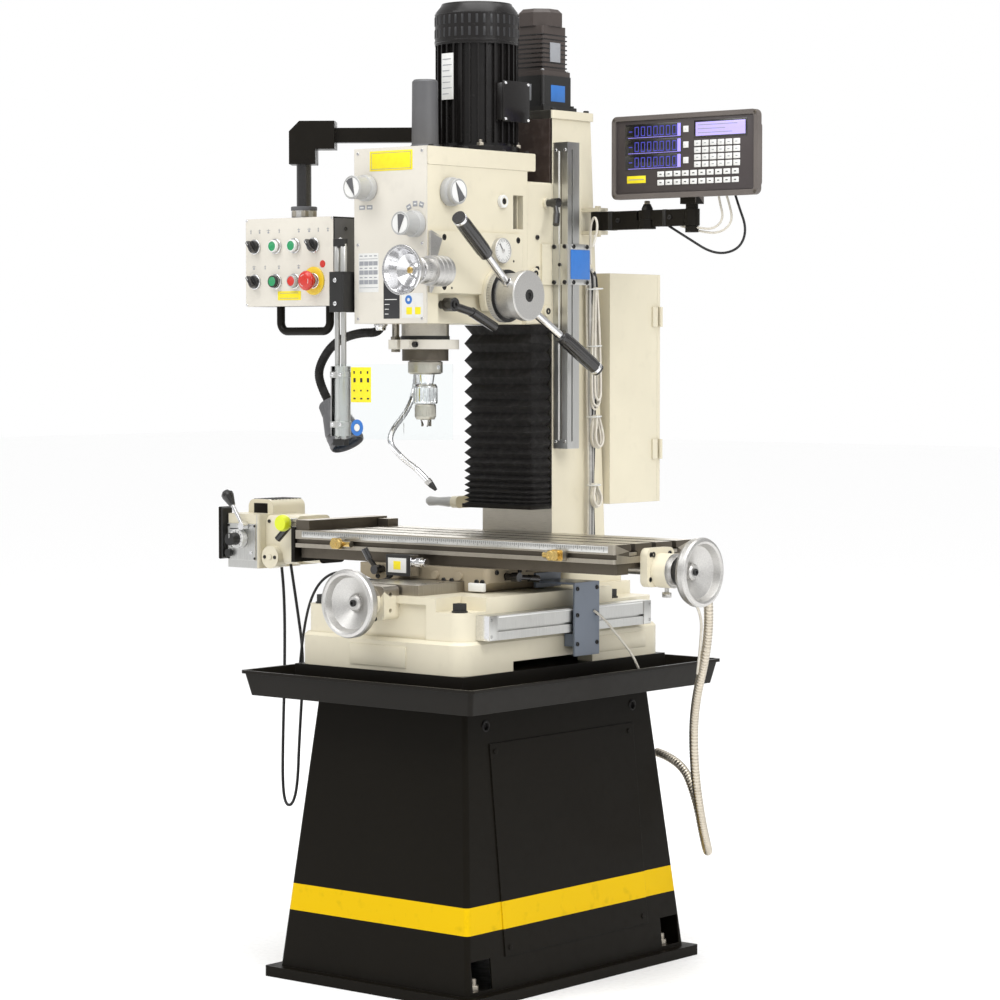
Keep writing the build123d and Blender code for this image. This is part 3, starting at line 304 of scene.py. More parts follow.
CREAM = (0.71, 0.655, 0.505)
WARNING_BAND = (0.1294, 0.180, (0.70, 0.45, 0.002))     # the stand's yellow stripe: low, high, colour
M = {
    "cream": enamel("cream_enamel", CREAM, 0.36),
    "cast": enamel("cream_cast", CREAM, 0.42, peel=0.22),
    # Saddle: cream darkened to brown, partly painted shade from the table above it and partly a real oily
    # stain on the casting.
    "saddle_shade_and_stain": enamel("saddle_shade_and_stain_enamel", (0.33, 0.28, 0.20), 0.5, peel=0.22, gloss=0.2, coat=0.0),
    "black": enamel("black_enamel", (0.010, 0.0085, 0.0065), 0.34, (0.08,) * 3, peel=0.12, gloss=0.12,
                    coat=0.01),
    "stand": enamel("stand_enamel", (0.0075, 0.0062, 0.0042), 0.38, (0.06,) * 3, peel=0.14, band=WARNING_BAND,
                    gloss=0.07, coat=0.0),
    "motor": enamel("motor_enamel", (0.011, 0.0098, 0.0095), 0.22, (0.06,) * 3, peel=0.16, gloss=0.3,
                    coat=0.1),
    "drive": enamel("drive_enamel", (0.062, 0.050, 0.045), 0.34, (0.10,) * 3, peel=0.16, gloss=0.3,
                    coat=0.02),
    "panel": enamel("panel_enamel", (0.68, 0.645, 0.57), 0.40, wear_amount=0.2, peel=0.06),
    "ground": metal("ground_steel", (0.56, 0.525, 0.455), 0.32),
    "iron": metal("machined_iron", (0.42, 0.385, 0.325), 0.42, (120, 120, 3), 0.14, 0.35),
    "dark_iron": metal("dark_iron", (0.14, 0.122, 0.098), 0.5, (60, 60, 60), 0.2, 0.4),
    "chrome": metal("polished_steel", (0.80, 0.80, 0.81), 0.13, (40, 40, 40), 0.02, 0.08),
    "silver": metal("silver_casting", (0.60, 0.59, 0.57), 0.42, (50, 50, 50), 0.10, 0.10),
    "alu": metal("anodised_aluminium", (0.60, 0.60, 0.58), 0.34, (200, 200, 3), 0.08, 0.08),
    "brass": metal("turned_brass", (0.62, 0.44, 0.16), 0.28, (90, 90, 90), 0.05, 0.2),
    "plastic": plastic("black_plastic", (0.011, 0.0105, 0.010), 0.42),
    "gloss": plastic("gloss_black_grip", (0.014, 0.013, 0.013), 0.22, depth=0.05, coat=0.5),
    "grey": plastic("grey_knob", (0.42, 0.42, 0.41), 0.35),
    "dark_grey": plastic("dark_grey", (0.10, 0.10, 0.105), 0.42),
    "white": plastic("white_plastic", (0.78, 0.78, 0.76), 0.38),
    "green": plastic("green_button", (0.02, 0.30, 0.11), 0.25, coat=0.4),
    "red": plastic("red_button", (0.58, 0.025, 0.015), 0.28, coat=0.4),
    "yellow": plastic("yellow_plastic", (0.85, 0.60, 0.03), 0.32, coat=0.2),
    "lamp_yellow": plastic("bright_yellow_cap", (0.72, 0.80, 0.02), 0.30, coat=0.2),
    "console": plastic("console_grey", (0.125, 0.108, 0.098), 0.50, 1200.0, 0.2),
    "fascia": plastic("console_fascia", (0.050, 0.040, 0.040), 0.46),
    "rubber": rubber("bellows_rubber", (0.0085, 0.0075, 0.007), 0.7),
    "brown": rubber("way_cover_rubber", (0.050, 0.034, 0.028), 0.5),
    "cable": rubber("cable_sheath", (0.018, 0.018, 0.019), 0.45),
    "grey_cable": rubber("grey_cable_sheath", (0.42, 0.41, 0.39), 0.5),
    "pale_cable": rubber("pale_cable_sheath", (0.66, 0.62, 0.54), 0.5),
    "clear": clear("clear_polycarbonate", (0.95, 0.98, 0.98)),
    "lens": clear("display_lens", (0.7, 0.8, 0.9)),
    "led": glow("segment_light", (0.10, 0.10, 0.75), 0.8),
    "violet": glow("violet_backlight", (0.36, 0.30, 1.0), 1.3, (0.1, 0.08, 0.3)),
    "lcd": glow("lavender_screen", (0.52, 0.44, 1.0), 0.75, (0.25, 0.22, 0.45)),
    "floor": scrubbed("studio_floor", (0.97, 0.97, 0.97), 0.9),
    "label": scrubbed("label_white", (0.72, 0.72, 0.70)),
    "label_yellow": scrubbed("label_yellow", (0.86, 0.72, 0.01)),
    "label_blue": scrubbed("label_blue", (0.03, 0.16, 0.50)),
    "label_grey": scrubbed("label_grey", (0.30, 0.31, 0.33)),
    "label_black": scrubbed("label_black", (0.02, 0.02, 0.022)),
    "bluegrey": enamel("reader_enamel", (0.16, 0.19, 0.24), 0.35),
    "hose": metal("conduit_strip", (0.66, 0.60, 0.50), 0.36, (60, 60, 60), 0.08, 0.3),
    "nylon": plastic("nylon_tie", (0.70, 0.70, 0.68), 0.45),
}


def dress(node, main, *rules):
    """Material of a CAD node; each rule (test, key) takes the faces it accepts by centre in mm and normal."""
    mesh = frame["nodes"][node].data
    mesh.materials.clear()
    for key in (main, *(key for _, key in rules)):
        mesh.materials.append(M[key])
    for face in mesh.polygons:
        centre, normal = face.center * 1000, face.normal
        face.material_index = next((k + 1 for k, (test, _) in enumerate(rules) if test(centre, normal)), 0)


# ---------------------------------------------------------------- mesh building, in millimetres
AXES = {"x": ((0, 1, 0), (0, 0, 1), (1, 0, 0)), "y": ((0, 0, 1), (1, 0, 0), (0, 1, 0)),
        "z": ((1, 0, 0), (0, 1, 0), (0, 0, 1))}


def basis(axis):
    """Two cross directions and the main one, for a letter such as "x" or "-y", or for a vector."""
    if isinstance(axis, str):
        u, v, w = (Vector(a) for a in AXES[axis[-1]])
        return (u, -v, -w) if axis[0] == "-" else (u, v, w)
    w = Vector(axis).normalized()
    u = w.orthogonal().normalized()
    return u, w.cross(u), w


class Shape:
    """One mesh put together from turned, swept and boxed pieces, with a material for each."""

    def __init__(self):
        self.bm = bmesh.new()
        self.keys = []

    def slot(self, key):
        if key not in self.keys:
            self.keys.append(key)
        return self.keys.index(key)

    def faces(self, made, key):
        index = self.slot(key)
        for face in made:
            face.material_index = index

    def lathe(self, key, origin, axis, profile, steps=40, ripple=None, start=0.0):
        """Turn (radius, height) points round an axis; ripple(angle, radius, height) scales the radius."""
        u, v, w = basis(axis)
        origin = Vector(origin)
        rings, made = [], []
        for r, h in profile:
            if r < 1e-6:
                rings.append([self.bm.verts.new(origin + w * h)])
                continue
            ring = []
            for k in range(steps):
                a = start + 2 * PI * k / steps
                rr = r * (ripple(a, r, h) if ripple else 1.0)
                ring.append(self.bm.verts.new(origin + u * rr * math.cos(a) + v * rr * math.sin(a) + w * h))
            rings.append(ring)
        for low, high in zip(rings, rings[1:]):
            for k in range(steps):
                j = (k + 1) % steps
                corners = [low[k % len(low)], low[j % len(low)], high[j % len(high)], high[k % len(high)]]
                unique = list(dict.fromkeys(corners))
                if len(unique) > 2:
                    made.append(self.bm.faces.new(unique))
        self.faces(made, key)
        return self

    def disc(self, key, origin, axis, radius, height, steps=24):
        """Plain round plate, from origin along the axis."""
        return self.lathe(key, origin, axis, [(0, 0), (radius, 0), (radius, height), (0, height)], steps)

    def rod(self, key, origin, axis, radius, length, edge=0.5, steps=32, hole=0.0):
        """Cylinder with softened rims, from origin along the axis."""
        e = min(edge, radius * 0.4, length * 0.4)
        points = [(hole, 0), (radius - e, 0), (radius, e), (radius, length - e), (radius - e, length),
                  (hole, length)]
        if hole:
            points.append((hole, 0))
        return self.lathe(key, origin, axis, points, steps)

    def join(self, part, key, turn=None, pivot=(0, 0, 0)):
        """Add a finished bmesh in one material, turned about a pivot."""
        if turn is not None:
            pivot = Vector(pivot)
            for vert in part.verts:
                vert.co = turn @ (vert.co - pivot) + pivot
        self.faces(part.faces, key)
        mesh = bpy.data.meshes.new("part")
        part.to_mesh(mesh)
        part.free()
        self.bm.from_mesh(mesh)
        bpy.data.meshes.remove(mesh)
        return self

    def box(self, key, x0, x1, y0, y1, z0, z1, edge=0.8, turn=None, pivot=None):
        """Box with rounded edges, optionally turned by a matrix about a pivot."""
        part = bmesh.new()
        bmesh.ops.create_cube(part, size=1.0)
        size = Vector((x1 - x0, y1 - y0, z1 - z0))
        centre = Vector(((x0 + x1) / 2, (y0 + y1) / 2, (z0 + z1) / 2))
        for vert in part.verts:
            vert.co = Vector(c * s for c, s in zip(vert.co, size)) + centre
        e = min(edge, min(size) * 0.35)
        if e > 0.02:
            bmesh.ops.bevel(part, geom=part.edges[:], offset=e, segments=2, affect="EDGES", profile=0.5)
        return self.join(part, key, turn, pivot or centre)

    def sweep(self, key, path, radius, steps=12, radii=None):
        """Closed round tube along points, with one radius or with one for each point."""
        path = [Vector(p) for p in path]
        tangents = []
        for k in range(len(path)):
            a, b = path[max(0, k - 1)], path[min(len(path) - 1, k + 1)]
            tangents.append((b - a).normalized())
        u = tangents[0].orthogonal().normalized()
        rings, made = [], []
        for k, (p, t) in enumerate(zip(path, tangents)):
            u = (u - t * u.dot(t)).normalized()
            v = t.cross(u)
            r = radii[k] if radii else radius
            angles = [2 * PI * j / steps for j in range(steps)]
            rings.append([self.bm.verts.new(p + (u * math.cos(a) + v * math.sin(a)) * r) for a in angles])
        for low, high in zip(rings, rings[1:]):
            for j in range(steps):
                i = (j + 1) % steps
                made.append(self.bm.faces.new((low[j], low[i], high[i], high[j])))
        made.append(self.bm.faces.new(rings[0][::-1]))
        made.append(self.bm.faces.new(rings[-1]))
        self.faces(made, key)
        return self

    def prism(self, key, origin, axis, outline, length, degrees):
        """Flat outline of (u, v) points pushed along an axis and turned about it."""
        u, v, w = basis(axis)
        turn = Matrix.Rotation(math.radians(degrees), 3, w)
        low = [self.bm.verts.new(origin + turn @ (u * a + v * b)) for a, b in outline]
        high = [self.bm.verts.new(p.co + w * length) for p in low]
        made = [self.bm.faces.new(low[::-1]), self.bm.faces.new(high)]
        for k in range(len(low)):
            j = (k + 1) % len(low)
            made.append(self.bm.faces.new((low[k], low[j], high[j], high[k])))
        self.faces(made, key)

    def marks(self, key, origin, axis, radius, count, every, long, short, width=0.3, inward=False, first=0.0):
        """Strokes round an axis, one in so many being long: along the axis, or across its face."""
        u, v, w = basis(axis)
        for k in range(count):
            a = first + 2 * PI * k / count
            out = u * math.cos(a) + v * math.sin(a)
            foot = Vector(origin) + out * radius
            self.sweep(key, [foot, foot + (-out if inward else w) * (short if k % every else long)], width, 4)

    def screw(self, origin, axis, radius=4.0, height=3.0, key="dark_iron"):
        """Socket-head screw: chamfered head with a sunk six-sided socket."""
        s = radius * 0.52
        self.lathe(key, origin, axis,
                   [(radius, 0), (radius, height - 0.5), (radius - 0.5, height), (s, height),
                    (s, height - radius * 0.5), (0, height - radius * 0.5)], 24,
                   lambda a, r, h: 1.0 if r > s * 1.01 else 1.0 + 0.07 * math.cos(6 * a))

    def screws(self, xs, ys, zs, axis, radius, height, key="plastic"):
        """The same screw at every crossing of the given places."""
        for origin in product(xs, ys, zs):
            self.screw(origin, axis, radius, height, key)

    def make(self, name, body, slot, replaces=(), smooth=32.0):
        """Finish the mesh in metres as a piece that rides on a body."""
        bm = self.bm
        bmesh.ops.remove_doubles(bm, verts=bm.verts, dist=0.0005)
        bmesh.ops.recalc_face_normals(bm, faces=bm.faces)
        bmesh.ops.scale(bm, vec=(0.001,) * 3, verts=bm.verts)
        limit = math.radians(smooth)
        for face in bm.faces:
            face.smooth = True
        for edge in bm.edges:
            if len(edge.link_faces) == 2 and edge.calc_face_angle(0) > limit:
                edge.smooth = False
        mesh = bpy.data.meshes.new(name)
        bm.to_mesh(mesh)
        bm.free()
        for key in self.keys:
            mesh.materials.append(M[key])
        obj = bpy.data.objects.new(name, mesh)
        bpy.context.scene.collection.objects.link(obj)
        if body:
            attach(obj, body)
        if replaces:
            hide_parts(*replaces)
        return obj


def rot(axis, degrees):
    return Matrix.Rotation(math.radians(degrees), 3, axis)


set_up_camera()
set_up_lamps()
set_up_world()
floor = Shape().box("floor", -30000, 30000, -30000, 30000, -20, 0, 0).make("floor", None, None)


# ---------------------------------------------------------------- where the CAD parts are, in millimetres
def mm_box(node):
    low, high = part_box(node)
    return [c * 1000 for c in low], [c * 1000 for c in high]


def joint_at(name):
    place = next(j["pos_m"] for j in frame["joints"] if j["name"] == name)
    return [c * 1000 for c in place]


def route(points, steps=8):
    """Points along the smooth line of a route, in the route's own units."""
    data = bpy.data.curves.new("route", "CURVE")
    data.dimensions, data.resolution_u = "3D", steps
    spline = data.splines.new("NURBS")
    spline.points.add(len(points) - 1)
    for point, place in zip(spline.points, points):
        point.co = (*place, 1)
    spline.order_u, spline.use_endpoint_u = 3, True
    obj = bpy.data.objects.new("route", data)
    bpy.context.scene.collection.objects.link(obj)
    bpy.context.view_layer.update()
    mesh = bpy.data.meshes.new_from_object(obj)
    line = [v.co.copy() for v in mesh.vertices]
    bpy.data.objects.remove(obj)
    bpy.data.meshes.remove(mesh)
    return line


def off(place, axis, centre):
    """Distance of a place from the line along an axis through a centre."""
    a, b = {"x": (1, 2), "y": (0, 2), "z": (0, 1)}[axis]
    return math.hypot(place[a] - centre[a], place[b] - centre[b])


WHEEL_Y = joint_at("cross_wheel_turn")
WHEEL_X = joint_at("table_wheel_turn")
HUB = joint_at("downfeed_turn")
SPINDLE = joint_at("spindle_turn")
FEED = joint_at("fine_feed_turn")
GUARD = joint_at("guard_swing")
(TX0, TY0, _), (TX1, TY1, TZ1) = mm_box("table")
(_, PANEL_Y0, _), (_, PANEL_Y1, _) = mm_box("front_panel")
FACE = -265.0                                   # front of the pendant's panel
GROOVE_Z = 824.5                                # middle of the table's front slot
RULE_STEP = 5                                   # between two marks of the table's rule
MOTOR_Y = -24.7
LEVER, LEVER_LEAN, LEVER_TURN = 252.0, 7, 146   # the downfeed levers' length, lean and first angle
PENDANT_X, PENDANT_Y = -263.0, -231.0           # where the pendant hangs from its arm
ARM_PIVOT = Vector((-72.0, -92.0, 0))
PUSH_BUTTONS = {"button_feed": (-305, 1403, "green", "white"), "button_run": (-255, 1403, "green", "white"),
                "button_start": (-305, 1335, "green", "plastic"), "button_stop": (-255, 1335, "red", "grey")}
SELECTORS = {"mode_selector": (-361, 1403), "lamp_selector": (-205, 1403), "coolant_selector": (-361, 1335)}
STOP_BUTTON = (-205, 1335)
DEPTH_ROD = (-58, -196)
LAMP_END, LAMP_TILT = Vector((-222, -205, 1104)), math.radians(150)
FEED_SCALE = -378.0                             # front of the fine feed's dial
SIDE_DIAL = (105, -73, 1391)
SIDE_WINDOW = (92, -59, 1485)
PLATE_SCREWS = ((94.4, -233, 1412), (94.4, -16, 1412), (94.4, -233, 1320))


# ---------------------------------------------------------------- CAD parts and their finishes
dress("stand", "stand")
dress("chip_tray", "black")
dress("base_casting", "cast", (lambda c, n: c.z > 764.5 and n.z > 0.9, "ground"),
      (lambda c, n: abs(c.x) < 81 and 746 < c.z < 765, "iron"),
      (lambda c, n: c.y < -320 and off(c, "y", WHEEL_Y) < 28.8 and n.y < -0.9, "iron"))
dress("base_bolts", "plastic")
dress("y_handwheel", "silver",
      (lambda c, n: c.y > -375 and off(c, "y", WHEEL_Y) < 12, "ground"),
      (lambda c, n: c.y > -368 and off(c, "y", WHEEL_Y) < 28, "plastic"))
dress("column", "cast", (lambda c, n: c.y < 98 and n.y < -0.9 and c.z > 775, "ground"))
dress("z_drive", "drive", (lambda c, n: c.z < 1739, "plastic"))
dress("z_crank", "cream", (lambda c, n: c.x < -166.5, "grey"), (lambda c, n: c.x > -149, "ground"))
dress("electric_cabinet", "cream")
dress("cabinet_door", "cream", (lambda c, n: c.x < -105 and c.y > 431.8 and abs(c.z - 1126) < 13, "plastic"))
dress("dro_scales", "alu", (lambda c, n: n.y < -0.9 and c.y < -261, "chrome"))
# The saddle gets the darkened cream: painted shade from the table above, together with real staining.
dress("saddle", "saddle_shade_and_stain")
dress("saddle_fittings", "plastic", (lambda c, n: c.x > 131, "bluegrey"),
      (lambda c, n: -26.1 < c.x < -1, "chrome"))
dress("saddle_lock", "gloss")
dress("table_lock", "gloss")
dress("table", "iron", (lambda c, n: c.z > TZ1 - 0.5 and n.z > 0.9, "ground"),
      (lambda c, n: c.z > TZ1 - 24 and TY0 + 20 < c.y < TY1 - 20, "dark_iron"),
      (lambda c, n: c.z < 812.5, "dark_iron"),
      (lambda c, n: TY0 + 0.5 < c.y < TY0 + 8 and 819 < c.z < 830, "dark_iron"))
dress("x_bracket", "cast", (lambda c, n: c.x > 470, "silver"))
dress("x_handwheel", "silver",
      (lambda c, n: c.x < 515 and off(c, "x", WHEEL_X) < 12, "ground"),
      (lambda c, n: c.x < 511 and off(c, "x", WHEEL_X) < 28, "plastic"))
dress("table_plates", "dark_iron", (lambda c, n: n.z > 0.9, "iron"))
for dog in ("stop_dog_left", "stop_dog_right"):
    dress(dog, "iron", (lambda c, n: c.y < TY0 - 12, "brass"))
dress("power_feed", "cream",
      (lambda c, n: TX0 - 9.5 < c.x < TX0 + 0.1 and (c.y < -79 or c.z > 850 or n.x > 0.9), "black"),
      (lambda c, n: c.x < TX0 - 235.5, "plastic"),
      (lambda c, n: off(c, "y", (TX0 - 66, 0, 856)) < 17.6 and c.y < -95, "lamp_yellow"),
      (lambda c, n: TX0 - 100 < c.x < TX0 - 44 and c.y < -79 and 812 < c.z < 874, "gloss"),
      (lambda c, n: off(c, "y", (TX0 - 222, 0, 790)) < 8.5 and c.y < -103.5, "plastic"),
      (lambda c, n: c.x < TX0 - 150 and c.y < -98.9 and c.z < 851, "alu"))
dress("power_feed_dial", "white", (lambda c, n: c.y < -118.2, "plastic"), (lambda c, n: c.y > -103, "ground"))
dress("power_feed_lever", "chrome", (lambda c, n: c.z > 882, "gloss"))
dress("head_slide", "cast", (lambda c, n: c.x > 92.2 and 1328 < c.z < 1409 and c.y > 61, "alu"))
dress("slide_clamp", "gloss")
dress("head_casting", "cast", (lambda c, n: c.x > 90.5 and off(c, "x", SIDE_WINDOW) < 6.5, "plastic"))
dress("front_panel", "panel", (lambda c, n: c.y < PANEL_Y1 - 3.1, "chrome"))
dress("side_plate", "cream", (lambda c, n: c.y < -255 and 86 < c.x < 146, "silver"),
      (lambda c, n: c.x > 104.5 and off(c, "x", SIDE_DIAL) < 22.5, "label"),
      (lambda c, n: c.x > 90 and off(c, "x", SIDE_DIAL) < 24.5 and n.x < 0.5, "silver"),
      (lambda c, n: c.x > 91 and min(off(c, "x", place) for place in PLATE_SCREWS) < 6.2, "plastic"),
      (lambda c, n: c.x > 104.2 and off(c, "x", HUB) < 54.5, "silver"))
dress("head_drive", "motor", (lambda c, n: c.y < -140 and off(c, "z", SPINDLE) < 28, "dark_grey"))
dress("fine_feed_wheel", "chrome", (lambda c, n: c.y > -330.2, "silver"))
dress("downfeed_hub", "silver", (lambda c, n: off(c, "x", HUB) > 132, "gloss"),
      (lambda c, n: off(c, "x", HUB) > 51, "chrome"),
      (lambda c, n: c.x > 163 and off(c, "x", HUB) < 12.3, "plastic"),
      (lambda c, n: 116.4 < c.x < 120, "plastic"))
dress("quill", "ground", (lambda c, n: 1203.9 < c.z < 1222.1 and off(c, "z", SPINDLE) > 46, "panel"),
      (lambda c, n: c.z < 1204, "dark_iron"))
dress("spindle", "chrome", (lambda c, n: c.z > 1156, "ground"))
dress("quill_lock", "gloss")
dress("guard_post", "alu", (lambda c, n: 1273 < c.z < 1351 or c.z > 1397 or c.z < 1035, "plastic"))
dress("guard_screen", "clear", (lambda c, n: off(c, "z", GUARD) < 19.2 and c.y > GUARD[1] - 17.5, "alu"))
dress("pendant_arm", "black", (lambda c, n: c.z < 1559, "gloss"))
dress("pendant_box", "black", (lambda c, n: c.y < FACE + 0.6 and n.y < -0.9 and 1287 < c.z < 1457, "panel"),
      (lambda c, n: c.z > 1457.3, "silver"), (lambda c, n: c.y < FACE - 0.1, "alu"))
dress("dro_arm_rear", "black")
dress("dro_arm_front", "black")
dress("dro_console", "console", (lambda c, n: c.z < 1493, "black"))


# ---------------------------------------------------------------- stand, tray and base
def stand_details():
    s = Shape()
    for x, y in product((-212, 212), (-290, 290)):
        s.rod("dark_iron", (x, y, 20), "z", 15, 3, 0.6, hole=7.2)
        s.lathe("iron", (x, y, 23), "z", [(0, 0), (12, 0), (12, 9), (11, 11), (0, 11)], 6)
        s.rod("iron", (x, y, 0.5), "z", 6.8, 46, 1.5, 20)
    s.make("anchor_bolts", "machine", "black_paint", smooth=25)
    s = Shape()
    for x, y in product((-188.6, 188.6), (-225, 225)):
        s.lathe("rubber", (x, y, 505), "x" if x > 0 else "-x",
                [(0, -6), (10.5, -6), (10.5, 1.4), (8.5, 2.2), (7, 1.0), (7, -4), (0, -4)], 28)
    s.make("stand_plugs", "machine", "black_paint")
    s = Shape()
    for x, y in product((-246, 246), (-90, 90)):
        s.lathe("black", (x, y, 549), "z", [(0, -3), (13, -3), (13, 0), (11, 2), (0, 2)], 30)
    for x in (-262, 216):
        s.box("black", x, x + 46, -349, 349, 546, 549.5, 1.2)
    s.make("tray_floor_strips", "machine", "black_paint")


def base_details():
    s = Shape()
    s.box("cast", -70, 70, -315.4, -312, 612, 652, 2.0)
    for x in (-206.8, 204.4):
        s.box("cast", x, x + 2.4, 85, 245, 620, 652, 1.0)
    s.make("base_pads", "machine", "cream_paint")
    s = Shape()
    s.screws((-60, 60), (-250, -200, 60), (765,), "z", 6, 0.3, "dark_iron")
    s.screws((-26, 26), (-349.2,), (704, 734), "-y", 4.5, 4.0)
    s.screws((-108, 108), (130, 250), (771,), "z", 9, 9)
    s.make("base_screws", "machine", "bolt_black")
    s = Shape()
    s.screws((229,), (-258, 226), (676, 706), "x", 3.2, 1.6, "chrome")
    for y in (-262.5, 208):
        s.box("alu", 228.6, 230.6, y, y + 22.5, 668.5, 713.5, 0.5)
    s.box("white", 229, 229.8, -236, 204, 709.6, 711.8, 0.1)
    s.screws((95, 118), (100,), (1025, 1590), "-y", 3.2, 1.6, "chrome")
    s.box("white", 102.0, 104.6, 98.9, 100.4, 1027, 1588, 0.2)
    s.box("dark_iron", 108, 110, 99.6, 100.6, 1030, 1586, 0.2)
    s.make("scale_fittings", "machine", "scale_alu")


def handwheel_marks():
    for name, body, origin, axis, front in (("y_dial_marks", "cross_wheel", WHEEL_Y, "y", "-y"),
                                            ("x_dial_marks", "table_wheel", WHEEL_X, "-x", "x")):
        origin, along = Vector(origin), basis(axis)[2]
        s = Shape()
        s.marks("label", origin + along * 37.5, axis, 27.05, 50, 5, 9, 5.5, 0.32)
        s.lathe("plastic", origin + along * 20.5, front,
                [(0, -2), (6.5, -2), (6.5, 1.5), (5.6, 2.4), (3.2, 2.4), (2.8, -0.6), (0, -0.6)], 28)
        s.make(name, body, "wheel_silver")


# ---------------------------------------------------------------- saddle, table and power feed
def saddle_details():
    s = Shape()
    s.screws((-138, -110, 30, 50, 112, 126), (-158,), (766,), "-y", 4.6, 3.4)
    s.screws((136,), (-130, -62, 30, 58), (783,), "x", 4.6, 3.4)
    s.make("saddle_screws", "saddle", "bolt_black")
    s = Shape()
    s.box("white", 96, 134, -166, -157.6, 748, 764, 1.5)
    s.box("label", -80, -34, -194.6, -193.9, 778, 806, 0.2)
    s.box("label_yellow", -66, -48, -195.0, -194.4, 784, 800, 0.2)
    s.lathe("chrome", (-12, -178, 798), "x",
            [(0, 0), (9.5, 0), (9.5, 4), (5, 5), (5, 12), (8, 13), (8, 16), (0, 16)], 28)
    s.make("saddle_switch_parts", "saddle", "black_plastic")
    s = Shape()
    s.screws((236,), (-10, 50), (645, 700, 750), "x", 4.2, 2.4)
    s.make("reader_screws", "saddle", "bolt_black")


def table_details():
    s = Shape()
    for k in range(151):
        x = TX0 + 25 + RULE_STEP * k
        if x > TX1 - 20:
            break
        tall = 9 if k % 10 == 0 else 6.5 if k % 2 == 0 else 4.5
        s.box("label_black", x - 0.35, x + 0.35, TY0 - 0.45, TY0 - 0.05, 843.2 - tall, 843.2, 0)
    s.box("alu", TX0 + 20, TX1 - 15, TY0 - 0.25, TY0 + 0.2, 832.4, 844.2, 0.1)
    s.make("table_ruler", "table", "ground_steel")
    s = Shape()
    for y in (-91, -28, 35):
        s.box("iron", TX1 - 3.0, TX1 - 0.4, y - 11.5, y + 11.5, 825.5, 832, 0.4)
    s.screws((TX1 + 16,), (-51.28, -0.88), (826,), "x", 5, 2)
    for y, z in ((-58, 826), (2, 826), (-59, 780)):
        s.screw((TX1 + 11.2, y, z), "x", 4.8, 4.2, "plastic")
    s.make("table_end_screws", "table", "bolt_black")
    s = Shape()
    s.lathe("silver", (TX1 + 30, -28, 764.5), "-z",
            [(0, -1), (4, -1), (4, 8), (6, 9), (9, 12), (6, 15), (0, 15)], 20)
    s.box("silver", TX1 + 20, TX1 + 40, -30, -26, 746, 756, 1.5)
    s.make("bracket_clamp_screw", "table", "wheel_silver")


def knurled(name, body, key, origin, axis, radius, length):
    """Small knurled thumb knob with a dished end."""
    teeth, depth = 36, 0.05

    def tooth(angle, r, h):
        raised = int(angle / (2 * PI) * teeth * 2 + 0.5) % 2
        return 1.0 if r < radius * 0.9 else 1.0 + depth * (0.5 if raised else -0.5)
    s = Shape()
    s.lathe(key, origin, axis,
            [(0, 0), (radius * 0.88, 0), (radius, 1), (radius, length - 1.2), (radius * 0.86, length),
             (radius * 0.4, length), (radius * 0.36, length - 1), (0, length - 1)], teeth * 2, tooth)
    s.make(name, body, key)


def stop_dog_knobs():
    for side in ("left", "right"):
        low, high = mm_box("stop_dog_" + side)
        middle = ((low[0] + high[0]) / 2, TY0 - 12.2, GROOVE_Z - 0.5)
        knurled(f"dog_knob_{side}", "dog_" + side, "brass", middle, "-y", 9.3, 10.6)


def power_feed_details():
    x, z = TX0 - 192, 820
    s = Shape()
    s.lathe("white", (x, -110, z), "-y", [(12, 0), (19.3, 0), (19.3, 6.8), (18.2, 8.3), (12, 8.3)], 48)
    for k in range(11):
        s.box("label_black", x - 0.4, x + 0.4, -118.7, -118.2, z + 14, z + 17.4, 0,
              rot("Y", -140 + 28 * k), (x, -118.5, z))

    def grip(a, r, h):
        return 1.0 + (0.035 * math.cos(12 * a) if r > 9 else 0)
    s.lathe("plastic", (x, -118.4, z), "-y",
            [(0, 0), (12.6, 0), (12.6, 2), (11.6, 4), (11.2, 17), (10.2, 18.9), (0, 18.9)], 72, grip)
    s.box("white", x - 0.7, x + 0.7, -138.2, -136.6, z + 2, z + 11, 0.2)
    s.make("feed_speed_knob", "feed_dial", "knob_grey")
    s = Shape()
    low, high = x - 36, x + 38
    s.screws((low + 1, high), (-103,), (780, 846), "-y", 2.6, 1.5)
    s.box("label_black", low + 4, low + 30, -103.5, -102.9, 838, 840.2, 0)
    s.box("label_grey", low + 4, low + 22, -103.5, -102.9, 833, 834.6, 0)
    s.rod("black", (x - 24, -103, 806), "-y", 4.2, 3, 0.8, 20)
    s.rod("chrome", (x + 28, -103, 792), "-y", 3.4, 2.2, 0.6, 20)
    s.box("black", TX0 - 246.5, TX0 - 240, -114, -82, 776.5, 883.5, 2.4)
    s.make("feed_front_marks", "table", "cream_paint")
    s = Shape()
    pivot_x = TX0 - 122
    s.screws((pivot_x - 14, pivot_x + 14), (-92,), (784,), "-y", 3.6, 2.2)
    s.screws((TX0 - 80, TX0 - 136), (-78,), (856,), "-y", 3.6, 2.4)
    s.lathe("cream", (pivot_x, -92, 784), "-y", [(0, 0), (6, 0), (6, 1.6), (5, 2.4), (0, 2.4)], 24)
    for k in range(9):
        y = -42 + 10 * k
        s.box("black", TX0 - 214, TX0 - 160, y, y + 4, 897.4, 898.6, 0.4)
    s.box("black", TX0 - 206, TX0 - 168, -50.8, -49.6, 858, 890, 0.3)
    s.make("feed_housing_screws", "table", "bolt_black")


